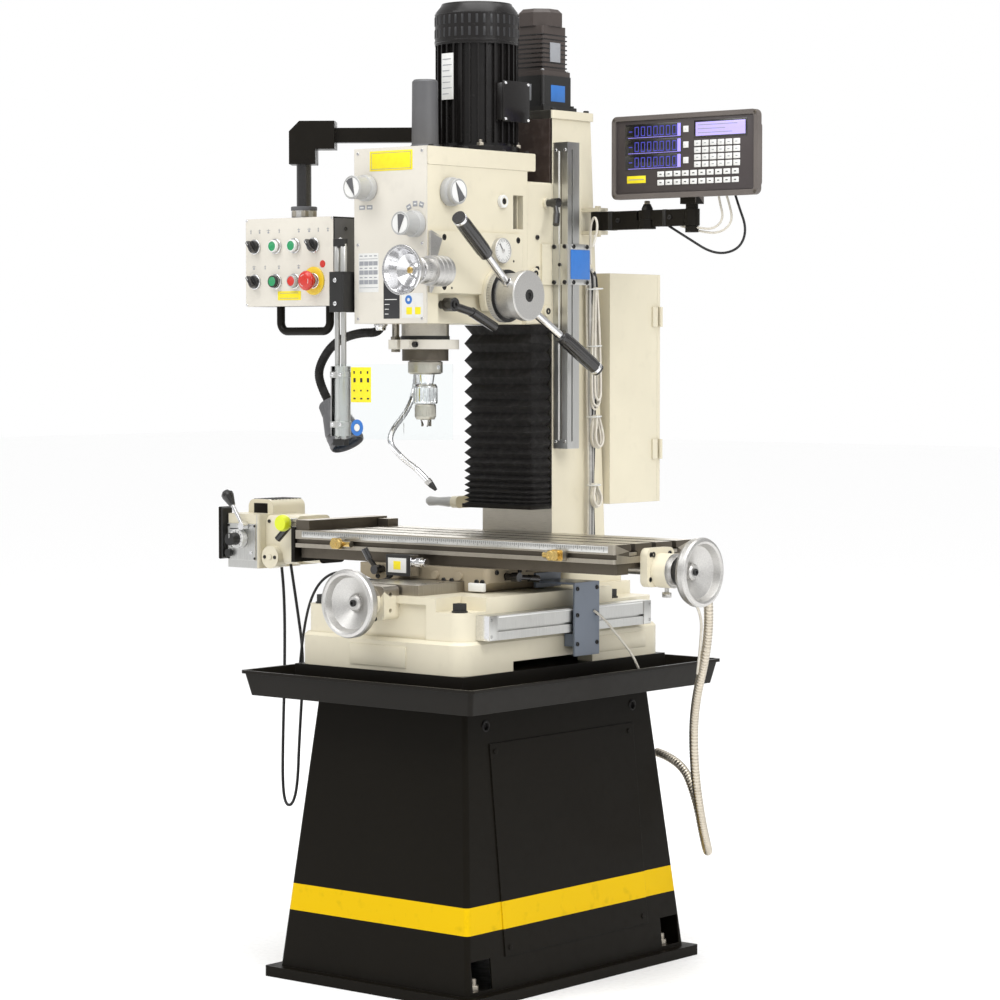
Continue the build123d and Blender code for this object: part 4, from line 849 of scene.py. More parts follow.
# ---------------------------------------------------------------- column, drive and cabinet
def bellows():
    z0, z1, folds = 901.5, mm_box("bellows")[1][2] - 0.4, 17
    count = 2 * folds + 1
    heights = [z0 + (z1 - z0) * (0.30 * t + 0.70 * t ** 2.1) for t in (k / (count - 1) for k in range(count))]
    s = Shape()
    rings, bm = [], s.bm
    index = s.slot("rubber")
    for n, z in enumerate(heights):
        gap = heights[min(n + 1, count - 1)] - z
        depth = 4.5 + 5.5 * min(1.0, gap / 14.0)
        for dz, push in (((0.0, 1.0),) if n % 2 else ((-0.55, 0.0), (0.55, 0.0))):
            inset = depth * push
            x, y, c = 87.6 - inset, 35.4 + inset * 1.1, 9.0
            outline = ((-x, 95.6), (-x, y + c), (-x + c * 0.3, y + c * 0.3), (-x + c, y),
                       (-30, y + 0.9 * math.sin(n * 1.7)), (0, y + 1.2 * math.sin(n * 2.3 + 1)),
                       (30, y + 0.9 * math.sin(n * 1.1 + 2)),
                       (x - c, y), (x - c * 0.3, y + c * 0.3), (x, y + c), (x, 95.6))
            rings.append([bm.verts.new((px, py, min(max(z + dz, z0), z1))) for px, py in outline])
    rims = [[bm.verts.new((v.co.x * 0.86, 95.6 if v.co.y > 90 else v.co.y + 12, v.co.z)) for v in ring]
            for ring in (rings[0], rings[-1])]
    for a, b in [*zip(rings, rings[1:]), (rings[0], rims[0]), (rings[-1], rims[1])]:
        for k in range(len(a) - 1):
            bm.faces.new((a[k], a[k + 1], b[k + 1], b[k])).material_index = index
    cover = s.make("bellows_folds", None, "bellows_rubber", ("bellows",), smooth=25)
    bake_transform(cover)
    s = Shape()
    s.box("black", -88, 88, 34, 95.5, 893.4, 901.2, 1.2)
    s.screws((-70, 70), (34.6,), (897.2,), "-y", 2.8, 0.5, "chrome")
    s.make("bellows_foot", "machine", "bellows_rubber")


def way_cover():
    low, high = mm_box("way_cover")
    s = Shape()
    bm, rows, columns = s.bm, 28, 4
    index = s.slot("brown")
    front, back = [], []
    for layer, thick in ((front, 0), (back, 3.2)):
        for r in range(rows + 1):
            z = low[2] + 0.3 + (high[2] - low[2] - 0.6) * r / rows
            y = low[1] + 1.2 + 0.42 * math.sin(r * 2 * PI / 7) + thick
            layer.append([bm.verts.new((x, min(y + 0.6 * abs(x) / 86, 95.8), z)) for x in range(-86, 87, 43)])

    def quad(a, b, c, d):
        bm.faces.new((a, b, c, d)).material_index = index
    for r in range(rows):
        for f in (front, back):
            for c in range(columns):
                quad(f[r][c], f[r][c + 1], f[r + 1][c + 1], f[r + 1][c])
        for c in (0, columns):
            quad(front[r][c], back[r][c], back[r + 1][c], front[r + 1][c])
    for r in (0, rows):
        for c in range(columns):
            quad(front[r][c], front[r][c + 1], back[r][c + 1], back[r][c])
    cover = s.make("way_apron", None, "bellows_rubber", ("way_cover",), smooth=60)
    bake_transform(cover)


def z_drive_details():
    s = Shape()
    s.screws((-45, 45), (123, 213), (1680,), "z", 4.5, 4)
    s.screws((-38, 38), (130, 206), (1750,), "z", 3.4, 3, "chrome")
    for x, key in ((46, "label_blue"), (-46, "label_grey")):
        s.box(key, x - 0.5, x + 0.5, 146, 190, 1690, 1722, 0.2)
    s.box("label_grey", -16, 16, 121.4, 122.4, 1692, 1724, 0.2)
    for k in range(8):
        z = 1756 + 9 * k
        s.box("motor", -38.8, 38.8, 129.2, 206.8, z, z + 3, 1.2)
    s.box("label_grey", 38.2, 39.6, 152, 184, 1768, 1806, 0.2)
    s.make("lift_motor_details", "machine", "motor_black")
    s = Shape()
    s.screw((-166, 150, 899), "-x", 7, 3.4, "chrome")
    s.make("crank_screw", "crank", "cream_paint")
    s = Shape()
    s.screws((-82, 82), (108, 212), (1668,), "z", 5.5, 5)
    s.make("column_cap_screws", "machine", "bolt_black")


def cabinet_details():
    x0, _, z0 = mm_box("electric_cabinet")[0]
    s = Shape()
    for k in range(7):
        z = 950 + 16 * k
        s.box("black", x0 - 0.4, x0 + 1, 300, 380, z, z + 5, 0.3)
        s.box("cream", x0 - 2.6, x0 + 0.5, 298, 382, z + 4, z + 9, 1.0)
    for x in (-110, -80, -50):
        s.lathe("dark_grey", (x, 300, z0), "-z",
                [(0, -1), (11, -1), (11, 4), (13, 5), (13, 9), (10, 13), (6, 14), (0, 14)], 12)
    s.make("cabinet_louvres_and_glands", "machine", "cream_paint")
    s = Shape()
    back = mm_box("cabinet_door")[1][1]
    s.box("label", -70, 40, 431.0, 431.9, 1180, 1240, 0.2)
    for k in range(4):
        s.box("label_grey", -62, 32 - 12 * k, 431.7, 432.2, 1228 - 12 * k, 1231 - 12 * k, 0)
    s.lathe("chrome", (-123, back - 0.4, 1126), "y",
            [(0, -2), (9.6, -2), (9.6, 0), (8.6, 0.5), (3, 0.5), (3, -1), (0, -1)], 24)
    s.make("door_plate_and_lock", "door", "cream_paint")


LOOM_X, LOOM_Y, WIRE_PITCH = 100.0, 204.0, 7.6


def wiring_loom():
    """Cables tied in one bunch down the column's right side, with the spare length hanging in loops."""
    rng = random.Random(3)
    s = Shape()
    spread = ((1340, 1.0), (1262, 0.95), (1211, 0.72), (1140, 0.85), (1072, 0.6), (1000, 0.55), (937, 0.36),
              (860, 0.5), (795, 0.6))
    for k in range(8):
        dx, dy = WIRE_PITCH * (k % 2), WIRE_PITCH * (k // 2 - 1.5)
        path = [(LOOM_X + 16, 160 + 5 * k, 1376 - 3 * k), (LOOM_X + 8, 180 + 4 * k, 1372 - 3 * k)]
        path += [(LOOM_X + dx * wide + rng.uniform(-1, 1), LOOM_Y + dy * wide + rng.uniform(-1, 1), z)
                 for z, wide in spread]
        path.append((LOOM_X + dx - 4, LOOM_Y + dy + 18, 752))
        s.sweep(("pale_cable", "grey_cable", "pale_cable", "cable")[k % 4], route(path, 6), 2.9, 10)
    for top, depth, count in ((1072, 68, 4), (937, 48, 3), (1323, 250, 3)):
        for k in range(count):
            half, low = rng.uniform(9, 15), top - depth * rng.uniform(0.86, 1.0)
            x, neck = LOOM_X + 9 + 4.4 * k, top - 0.3 * depth
            drop = ((-3, -2, top + 3), (0, -half * 0.7, neck), (1, -half, low + 16),
                    (2, -half * 0.5, low + 3), (2, 1, low), (2, half * 0.6, low + 4), (1, half, low + 18),
                    (0, half * 0.6, neck), (-3, 2, top + 3))
            s.sweep("pale_cable", route([(x + dx, LOOM_Y + dy, z) for dx, dy, z in drop], 8), 2.3, 10)
    for z, half in ((1323, 19), (1211, 14), (1072, 13), (937, 9)):
        angles = [2 * PI * k / 24 for k in range(25)]
        ring = [(LOOM_X + 9 + 15 * math.cos(a), LOOM_Y + half * math.sin(a), z + math.sin(a)) for a in angles]
        s.sweep("nylon", ring, 1.5, 6)
    s.make("column_wiring", "machine", "cable_black")


# ---------------------------------------------------------------- head
def panel_labels():
    s = Shape()
    y = PANEL_Y0 + 1.5

    def plate(key, x0, x1, z0, z1, lift=0.3, thick=0.2, edge=0.0):
        s.box(key, x0, x1, y - lift - thick, y - lift + 0.05, z0, z1, edge)
    plate("label_yellow", -50, 56, 1537, 1574, 0, 0.7, 0.5)
    for x0, x1, z0, z1 in ((-46, 52, 1540, 1540.8), (-46, 52, 1570, 1570.8), (-46, -45.2, 1540, 1570.8),
                           (51.2, 52, 1540, 1570.8)):
        plate("label_grey", x0, x1, z0, z1, 0.7)
    for x in (-70, -51):
        plate("label_grey", x - 7, x + 7, 1466, 1474, 0, 0.5, 0.2)
        plate("label", x - 4.5, x + 4.5, 1468.5, 1471.5, 0.45)
    for x, z, a in ((47, 1467.5, 24), (62.5, 1473.5, 2), (78, 1471.5, -20)):
        s.box("label_grey", x - 5.5, x + 5.5, y - 0.5, y, z - 5, z + 5, 0.2, rot("Y", -a))
        s.box("label", x - 3, x + 3, y - 0.7, y, z - 1.2, z + 1.2, 0, rot("Y", -a), (x, y, z))
    plate("label", -79, -29, 1311, 1384, 0, 0.3, 0.3)
    for z0, z1 in ((1373, 1374), (1361, 1369), (1344, 1352), (1326, 1334), (1319, 1320)):
        plate("label_grey", -77, -31, z0, z1)
    for x in (-65.5, -54, -42.5):
        plate("label", x - 0.4, x + 0.4, 1326, 1369, 0.5, 0.15)
    for x, z in product(range(-76, -39, 12), (1378, 1355, 1337.5)):
        plate("label_grey", x, x + 7, z, z + 2)
    plate("label_black", -16.3, 23.7, 1261, 1333, 0, 0.5, 0.3)
    for k, w in enumerate((30, 12, 10, 9)):
        plate("label", -13, -13 + w, 1296 - 9 * k, 1297.4 - 9 * k, 0.5)
    plate("label", 29, 82, 1262, 1308, 0, 0.3, 0.3)
    s.disc("label_blue", (46.2, y - 0.3, 1296), "-y", 8.4, 0.3, 36)
    s.disc("label", (46.2, y - 0.5, 1296), "-y", 3.2, 0.2)
    for x in (47.5, 69):
        plate("label_yellow", x - 7, x + 7, 1268.5, 1282, 0.3, 0.25, 0.2)
    s.make("panel_labels", "head", "panel_white")


def knob(name, body, place, axis, skirt, reach, pointer_turn, neck=21.5):
    """Stepped selector knob: skirt with a set screw, pale front disc and a dark wedge pointer."""
    u, v, w = basis(axis)
    origin = Vector(place)
    s = Shape()

    def flute(a, r, h):
        return 1.0 + (0.012 * math.cos(30 * a) if 14.5 < h < reach - 3 and r > 20 else 0)
    s.lathe("grey", origin, axis,
            [(0, 0), (skirt - 1, 0), (skirt, 1), (skirt, 10.5), (skirt - 1.8, 13.5), (neck, 14.2), (neck, 15),
             (neck, reach - 4), (neck + 0.5, reach - 3), (neck + 0.5, reach - 1.2), (neck - 0.6, reach),
             (neck - 2.4, reach), (neck - 2.8, reach - 0.7), (0, reach - 0.7)], 90, flute)
    s.disc("white", origin + w * (reach - 0.72), axis, neck - 3.1, 0.5, 48)
    out = (u * 0.35 + v * 0.93).normalized()
    s.rod("plastic", origin + w * 7 + out * (skirt - 1.6), out, 2.4, 1.9, 0.3, 14)
    r = neck - 3.6
    s.prism("dark_grey", origin + w * (reach - 0.3), axis,
            ((-r, 0), (r * 0.86, -r * 0.5), (r * 0.97, 0), (r * 0.86, r * 0.42)), 1.3, pointer_turn)
    s.make(name, body, "knob_grey", (body,))


def head_knobs():
    y = PANEL_Y0 + 1.0
    knob("range_selector", "range_knob", (-56, y, 1506), "-y", 25, 44.6, 24)
    knob("speed_selector", "speed_knob", (64, y, 1436), "-y", 25, 44.6, -10)
    knob("side_selector", "side_knob", (90.5, -213, 1497), "x", 27, 24.8, -60, 23.5)


def side_details():
    s = Shape()
    s.lathe("label", (90.4, *SIDE_WINDOW[1:]), "x",
            [(6, 0), (12.4, 0), (12.4, 6.2), (11, 7.4), (7.6, 7.4), (6.6, 5), (6, 2)], 36)
    s.lathe("gloss", SIDE_WINDOW, "x", [(0, 0), (6.4, 0), (6.4, 4.4), (3.0, 4.6), (2.6, 2.4), (0, 2.4)], 6)
    for place in PLATE_SCREWS:
        s.screw(place, "x", 5.2, 1.0, "plastic")
    for y, z in ((-30, 1372), (-212, 1318)):
        s.rod("plastic", (96, y, z), "x", 2.2, 0.6, 0.2, 14)
    s.marks("label_black", (105.1, *SIDE_DIAL[1:]), "x", 21, 24, 3, 6, 3.5, 0.35, inward=True)
    s.lathe("silver", SIDE_DIAL, "x",
            [(22, -1), (24.2, -1), (24.2, 1.2), (23.4, 1.9), (22.2, 1.5), (22, 0)], 48)
    s.lathe("silver", SIDE_DIAL, "x", [(0, 0), (3.4, 0), (3.4, 2.0), (2.2, 2.6), (0, 2.6)], 24)
    s.box("dark_grey", 105.2, 105.9, -74, -72, 1391, 1407, 0.2, rot("X", 35), SIDE_DIAL)
    for y in (-262, -274, -286):
        s.lathe("silver", (FEED[0], y, FEED[2]), "-y", [(28.1, 0), (28.6, 0.4), (28.6, 2.4), (28.1, 2.8)], 48)
    s.make("side_details", "head", "cream_paint")
    s = Shape()
    s.marks("label_black", (FEED[0], FEED_SCALE - 0.05, FEED[2]), "-y", 45.2, 40, 5, 3.8, 2.0, 0.32,
            inward=True)
    s.lathe("brass", (FEED[0], -352, FEED[2]), "-y",
            [(0, 0), (6, 0), (6, 2.4), (5, 3.2), (2.2, 3.2), (2.0, 1.4), (0, 1.4)], 28)
    s.marks("label_black", (FEED[0], -317, FEED[2]), "-y", 24.05, 36, 6, 8, 5, first=PI / 2)
    s.make("fine_feed_marks", "fine_feed", "bright_steel")
    s = Shape()
    s.screws((78,), (-250, -150, -40, 30), (1580,), "z", 5, 4.4)
    s.screws((88.6,), (50,), (1290, 1360, 1420), "x", 4.6, 3.2)
    for y, z in ((78, 1278), (40, 1350)):
        s.screw((94, y, z), "x", 6.0, 2.2, "plastic")
    s.make("head_screws", "head", "bolt_black")
    s = Shape()
    s.screws((98, 124), (92.9,), (1334, 1403), "-y", 4.4, 3.2)
    s.screw((111, 92.9, 1368), "-y", 3.6, 2.6, "plastic")
    s.screws((132,), (108, 150), (1334, 1403), "x", 4.4, 3.0)
    s.box("label_blue", 131.7, 133.2, 100, 159.5, 1340, 1397, 0.5)
    for z0, z1 in ((1330, 1339), (1398, 1407.5)):
        s.box("alu", 131.7, 132.8, 100, 159.5, z0, z1, 0.4)
    for x0, x1 in ((93, 110.4), (111.6, 131.4)):
        s.box("alu", x0, x1, 92.2, 93.2, 1330, 1407.5, 0.4)
    s.make("reader_plates", "head", "scale_alu")


def downfeed_details():
    s = Shape()
    lean = LEVER * math.sin(math.radians(LEVER_LEAN))
    for turn in (LEVER_TURN, LEVER_TURN + 180):
        along_y, along_z = LEVER * math.cos(math.radians(turn)), LEVER * math.sin(math.radians(turn))

        def spot(t):
            return Vector((140 + lean * t, HUB[1] + along_y * t, HUB[2] + along_z * t))
        start, way = spot(0.53), spot(0.995) - spot(0.53)
        total = way.length

        def flute(angle, r, h):
            return 1.0 + (0.03 * math.cos(14 * angle) if 14 < h < total - 16 else 0)
        s.lathe("gloss", start, way,
                [(8, 0), (11.6, 0), (13.3, 6), (13.4, 12), (13.9, 15), (14.1, total * 0.5),
                 (13.7, total - 18), (13.3, total - 12), (13.3, total - 9.5)], 84, flute)
        s.lathe("chrome", start, way,
                [(12, total - 9.6), (13.7, total - 9.6), (13.9, total - 6), (13.5, total - 3.6),
                 (11, total - 3.6)], 40)
        s.lathe("gloss", start, way,
                [(12.6, total - 3.8), (13.0, total - 2), (11.4, total + 0.2), (0, total + 0.6)], 40)
        s.lathe("chrome", spot(0.155), way, [(8.1, 0), (10.5, 0), (10.5, 7), (8.1, 8.5)], 6)
    s.marks("label_black", (105.5, *HUB[1:]), "x", 50.05, 60, 5, 7, 4.5)
    s.lathe("plastic", (164.5, *HUB[1:]), "x",
            [(0, 0), (11.6, 0), (11.6, 3.2), (10.8, 4.0), (6.2, 4.0), (5.6, 1), (0, 1)], 36,
            lambda a, r, h: 1.0 + (0.06 * math.cos(6 * a) if r < 7 else 0))
    for turn in (20, 140, 260):
        out = Vector((0, math.cos(math.radians(turn)), math.sin(math.radians(turn))))
        s.screw(Vector((132, *HUB[1:])) + out * 42.6, out, 4.2, 1.2, "plastic")
    s.make("downfeed_details", "hub", "wheel_silver")


def quill_details():
    y = SPINDLE[1]
    s = Shape()
    s.lathe("plastic", (0, y, 1222.2), "z", [(45.2, 0), (46.4, 0), (46.4, 6.5), (45.2, 7.2)], 60)
    s.screw((26, y - 63, 1213), "x", 5.6, 7, "plastic")
    s.lathe("iron", (*DEPTH_ROD, 1222), "z", [(7.1, 0), (10, 0), (10, 6), (7.1, 6)], 6)
    s.lathe("iron", (*DEPTH_ROD, 1203.8), "-z", [(0, -1), (9, -1), (9, 5), (0, 5.6)], 6)
    for k in range(10):
        s.lathe("label_black", (*DEPTH_ROD, 1229 + 2.2 * k), "z",
                [(7.02, 0), (7.1, 0.1), (7.1, 0.35), (7.02, 0.45)], 20)
    s.make("quill_details", "quill", "ground_steel")
    s = Shape()

    def flute(a, r, h):
        return 1.0 - (0.045 if math.cos(18 * a) > 0.2 and 1.5 < h < 29.5 else 0.0)
    s.lathe("chrome", (0, y, 1102.4), "z",
            [(20, 0), (22.6, 0), (23.4, 1.4), (23.4, 3), (23.4, 28), (23.4, 29.6), (22.4, 31), (20, 31)], 144,
            flute)
    for jaw in (0, 120, 240):
        s.box("dark_iron", -0.4, 0.4, y - 11.6, y - 6.6, 1058, 1071, 0.1, rot("Z", jaw), (0, y, 1060))
    for x, axis in ((30.4, "x"), (-30.4, "-x")):
        s.rod("chrome", (x, y, 1170), axis, 4.5, 3.2, 0.4, 24)
    s.make("chuck_body_flutes", "spindle", "bright_steel")
    s = Shape()

    def knurl(a, r, h):
        return 1.0 + (0.018 * math.cos(40 * a) if r > 19 and 6 < h < 23 else 0)
    s.lathe("ground", (0, y, 1071), "z",
            [(14.1, 3), (17, 0), (20, 5), (20, 6.2), (20, 7), (20, 22), (20, 24), (20, 27), (18.5, 29.2),
             (14.1, 29.2)], 160, knurl)
    s.make("chuck_sleeve_knurled", "sleeve", "ground_steel", ("chuck_sleeve",))
    s = Shape()
    s.screw((112.6, -222, 1287), "x", 7, 3, "plastic")
    s.make("quill_lock_screw", "quill_lock", "grip_black")


def motor_details():
    s = Shape()
    y = MOTOR_Y
    for k, z in product(range(36), (1800, 1824)):
        s.box("label_black", 80.2, 81.6, y - 2.4, y + 2.4, z, z + 17, 0.5, rot("Z", 10 * k), (0, y, z))
    s.lathe("motor", (0, y, 1790), "z", [(80.6, 0), (82.0, 1), (82.0, 4), (80.8, 5)], 72)
    s.lathe("motor", (0, y, 1846), "z",
            [(80.4, -3), (81.6, -1), (79.4, 4), (70.4, 16.5), (66, 20.2), (66, 19.6)], 72)
    for r in (12, 23, 34, 45, 56):
        s.lathe("label_black", (0, y, 1866.1), "z", [(r, 0), (r + 3, 0), (r + 3, 0.4), (r, 0.4), (r, 0)], 60)
    for x, dy in product((-55.508, 55.508), repeat=2):
        s.lathe("iron", (x, y + dy, 1591.6), "z", [(0, 0), (7.5, 0), (7.5, 5), (6.6, 6), (0, 6)], 6)
        s.rod("iron", (x, y + dy, 1596), "z", 3.6, 7, 0.6, 16)
    turn, pivot = rot("Z", -4), (0, y, 1700)
    s.box("label", -15, 15, y - 81.6, y - 79.4, 1680, 1768, 0.4, turn, pivot)
    for k, w in enumerate((22, 24, 18, 24, 20, 24, 16)):
        s.box("label_grey", -12, -12 + w, y - 82.0, y - 81.4, 1756 - 11 * k, 1757.6 - 11 * k, 0, turn, pivot)
    s.box("motor", 60, 92, y - 30, y + 42, 1640, 1712, 3)
    s.box("motor", 90, 95, y - 33, y + 45, 1637, 1715, 2)
    s.screws((95,), (y - 28, y + 40), (1642, 1710), "x", 2.8, 1.6, "chrome")
    s.make("motor_details", "head", "motor_black")
    s = Shape()
    s.lathe("dark_grey", (0, SPINDLE[1], 1580), "z", [(27.6, 0), (29, 0), (29, 6), (27.6, 7.5)], 48)
    s.screw((0, SPINDLE[1], 1711.8), "z", 6, 1.6, "plastic")
    s.make("drawbar_cap_parts", "head", "motor_black")


def guard_details():
    x, y = GUARD[0], GUARD[1]
    s = Shape()
    for dx in (-8, 8):
        s.lathe("alu", (x + dx, y, 1350.2), "z", [(5.1, 0), (6.4, 0), (6.4, 52), (5.8, 53), (5.1, 53)], 28)
    s.screw((x, y, 1412), "z", 3.6, 2.0, "chrome")
    s.screws((x,), (y - 14,), (1290, 1334), "-y", 4.4, 3, "chrome")
    s.box("plastic", x - 22, x - 17, y - 6, y + 20, 1294, 1330, 2)
    s.make("guard_rail_fittings", "head", "scale_alu")
    s = Shape()
    s.box("label_yellow", -70.3, -19.6, y - 18.5, y - 17.95, 1104.5, 1170.3, 0.2)
    for r, (z, high) in enumerate(((1158, 5), (1142, 8), (1125, 3), (1110, 3))):
        for x0 in (-63.5, -46.5, -29.5):
            s.box("label_black", x0, x0 + 3.5 + 2 * (r % 2), y - 18.8, y - 18.4, z, z + high, 0)
    s.disc("label_blue", (-55, y - 18.0, 1057), "-y", 15.4, 0.4, 48)
    s.disc("label", (-55, y - 18.4, 1057), "-y", 7, 0.25, 36)
    for z in (1056, 1150):
        s.lathe("alu", (x, y, z), "z", [(19.05, 0), (20.4, 0.6), (20.4, 11.4), (19.05, 12)], 48)
        s.screw((x - 4, y - 19.6, z + 6), "-y", 3.4, 2.0, "chrome")
        s.screw((x + 16, y - 18.2, z + 6), "-y", 3.2, 2.0, "chrome")
    s.make("guard_stickers", "guard", "clear_screen")


def lamp_and_coolant():
    line = route([(-64, -232, 1251.6), (-64, -232, 1235), (-128, -226, 1236), (-208, -207, 1218),
                  (-250, -205, 1172), (-248, -205, 1136), (-220, -205, 1098)], 18)
    s = Shape()
    s.sweep("rubber", line, 8.5, 20, [8.5 + 0.3 * math.cos(k * PI) for k in range(len(line))])
    s.lathe("chrome", line[0], "-z", [(0, 0), (13, 0), (13, 3), (11, 5), (10, 10), (8.6, 12)], 32)
    axis = Vector((math.sin(LAMP_TILT), 0, math.cos(LAMP_TILT)))

    def rib(a, r, h):
        return 1.0 + (0.03 * math.cos(26 * a) if 5 < h < 25 else 0)
    s.lathe("dark_grey", LAMP_END, axis,
            [(0, 0), (17, 0), (21, 1.2), (23, 4), (23.2, 5.5), (24, 24), (24.2, 25.5), (24.6, 27), (28, 40),
             (33.6, 61), (34, 64), (34, 92), (33.6, 95), (32.2, 96.6), (31, 96), (30.6, 92), (30.6, 64),
             (22, 32), (0, 28)], 104, rib)
    for h, wide in ((70, 6), (88, 4)):
        s.lathe("gloss", LAMP_END, axis,
                [(34.05, h), (34.6, h + 1), (34.6, h + wide - 1), (34.05, h + wide)], 72)
    s.lathe("lens", LAMP_END, axis, [(0, 88), (30.5, 88), (30.5, 90), (0, 90.6)], 56)
    s.lathe("label", LAMP_END, axis, [(0, 36), (11, 42), (15, 56), (12, 70), (0, 76)], 40)
    s.make("work_lamp", "head", "lamp_black", ("lamp",))
    line = route([(-78, -106, 1247), (-76, -112, 1180), (-72, -130, 1098), (-70, -214, 1034),
                  (-52, -182, 994), (-34, -162, 976), (-14, -150, 950)], 16)
    s = Shape()
    s.sweep("chrome", line, 5.4, 20, [5.4 + 0.35 * math.cos(k * PI) for k in range(len(line))])
    end, way = line[-1], (line[-1] - line[-6]).normalized()
    s.lathe("silver", end - way * 6, way, [(5.5, 0), (7.2, 0), (7.2, 8), (6, 9)], 6)
    s.lathe("plastic", end + way * 2, way,
            [(0, 0), (6.2, 0), (6.2, 4), (3.4, 16), (2.6, 18), (1.4, 18), (1.4, 8), (0, 8)], 28)
    s.rod("plastic", (-78, -106, 1251.8), "-z", 11, 9.5, 1.0, 32)
    s.make("coolant_line", "head", "bright_steel", ("coolant_pipe",))


# ---------------------------------------------------------------- pendant
def pendant_details():
    y = FACE
    s = Shape()
    for x, z in product((-384, -158), (1290, 1454)):
        s.lathe("chrome", (x, y, z), "-y",
                [(0, 0), (2.6, 0), (2.6, 1.0), (2.0, 1.6), (0.6, 1.6), (0.4, 0.9), (0, 0.9)], 20)
    marks = [(x, 1432.5) for x in (-373, -349.5, -326, -297, -245, -218, -194, -169)]
    marks += [(x, 1363) for x in (-365, -335, -298, -246)]
    for k, (x, z) in enumerate(marks):
        w = 2.2 + 1.2 * (k % 3)
        for half, low, high in ((w, 1, 2), (w * 0.5, -4, -1), (0.5, -1, 4)):
            s.box("label_grey", x - half, x + half, y - 0.25, y, z + low, z + high, 0)
    s.disc("red", (-183, y, 1367), "-y", 7.0, 0.4, 32)
    s.box("label_yellow", -301, -240, y - 0.5, y, 1299, 1316, 0.3)
    for z in (1302, 1312):
        s.box("label_grey", -295, -246, y - 0.7, y - 0.4, z, z + 0.8, 0)
    for x in (-387.6, -155.1):
        s.box("dark_grey", x, x + 0.7, -262, -200, 1290, 1454, 0.3)
    s.screws((-154.5,), (PENDANT_Y,), (1310, 1434), "x", 4, 1.6)
    s.lathe("iron", (PENDANT_X, PENDANT_Y, 1459), "z",
            [(24.1, 0), (27, 0), (27, 11), (25.2, 12.4), (24.1, 12.4)], 6, start=0.3)
    s.lathe("dark_grey", (PENDANT_X, PENDANT_Y, 1471.5), "z",
            [(24.1, 0), (25.4, 0.6), (25.4, 7), (24.1, 7.8)], 48)
    for x, z in product((-361, -305, -255, -205), (1403, 1335)):
        s.lathe("chrome", (x, y - 3, z), "-y",
                [(12.1, -0.4), (14.4, -0.2), (14.8, 0.6), (14.0, 1.4), (12.1, 1.4)], 48)
    s.lathe("yellow", (STOP_BUTTON[0], y - 0.2, STOP_BUTTON[1]), "-y",
            [(14.2, 0), (27, 0), (27, 2.2), (25.6, 3.0), (14.2, 3.0)], 60)
    s.make("pendant_labels", "pendant", "panel_white")
    s = Shape()
    way = (Vector((PENDANT_X, PENDANT_Y, 0)) - ARM_PIVOT).normalized()
    side = Vector((-way.y, way.x, 0))
    ends = [ARM_PIVOT + way * t - side * 14.2 for t in (30, 172)]
    s.sweep("iron", [(p.x, p.y, 1624) for p in ends], 1.6, 8)
    for t in (188, 226):
        p = ARM_PIVOT + way * t - side * 25.1
        s.screw((p.x, p.y, 1616), -side, 5, 2.2, "plastic")
    s.lathe("plastic", (ARM_PIVOT.x, ARM_PIVOT.y, 1630.2), "z",
            [(0, 0), (15, 0), (15, 5), (12, 8), (0, 8)], 36)
    s.make("arm_fittings", "pendant_arm", "black_paint")


def push_caps():
    y = FACE
    for node, (x, z, key, ring) in PUSH_BUTTONS.items():
        s = Shape()
        s.lathe(ring, (x, y - 6.1, z), "-y",
                [(6, 0), (10.9, 0), (11.6, 0.8), (11.6, 6.0), (10.9, 7.0), (9.4, 7.2), (9.2, 6.2)], 48)
        s.lathe(key, (x, y - 6.1, z), "-y",
                [(9.3, 4.4), (9.3, 6.6), (8.4, 7.6), (6.6, 7.3), (3.4, 6.8), (0, 6.7)], 48)
        s.disc("plastic", (x, y + 14, z), "-y", 6, 17)
        s.make(node + "_cap", node, key + "_plastic", (node,))


def selector_caps():
    y = FACE

    def ridge(a, r, h):
        return 1.0 + (0.02 * math.cos(24 * a) if 1 < h < 6 and r > 11 else 0)
    for node, (x, z) in SELECTORS.items():
        s = Shape()
        s.lathe("plastic", (x, y - 3.4, z), "-y",
                [(6, -0.1), (11, 0), (11.9, 1), (11.9, 5), (11.0, 6.6), (0, 6.8)], 72, ridge)
        s.disc("plastic", (x, y + 14, z), "-y", 6, 17.5)
        turn = rot("Y", -35)
        s.box("gloss", x - 3.5, x + 3.5, y - 20, y - 8.5, z - 12, z + 12.4, 1.6, turn, (x, y, z))
        s.box("label", x - 0.6, x + 0.6, y - 20.2, y - 19.8, z + 4, z + 11.4, 0.1, turn, (x, y, z))
        s.make(node + "_lever", node, "black_plastic", (node,))


def stop_mushroom():
    x, y, z = STOP_BUTTON[0], FACE, STOP_BUTTON[1]
    s = Shape()
    s.lathe("red", (x, y - 10, z), "-y",
            [(0, 0), (12, 0), (12, 7.4), (15, 8), (18.4, 9.6), (19, 11.6), (18.8, 14), (17.2, 17),
             (13.6, 19.2), (8, 20.1), (0, 20.4)], 64)
    s.disc("plastic", (x, y + 12, z), "-y", 6, 22.2)
    for first in (90, 210, 330):
        angles = [math.radians(first) + t * 0.16 for t in range(6)]
        s.sweep("label", [(x + 11 * math.cos(a), y - 29.32, z + 11 * math.sin(a)) for a in angles], 0.55, 8)
    s.make("stop_button_head", "e_stop", "red_plastic", ("e_stop",))


# ---------------------------------------------------------------- display
# The six lit bars of a zero, as shares of its width and height.
ZERO = ((0, 1, 0.92, 1), (0.86, 1, 0.5, 1), (0.86, 1, 0, 0.5), (0, 1, 0, 0.08), (0, 0.14, 0, 0.5),
        (0, 0.14, 0.5, 1))


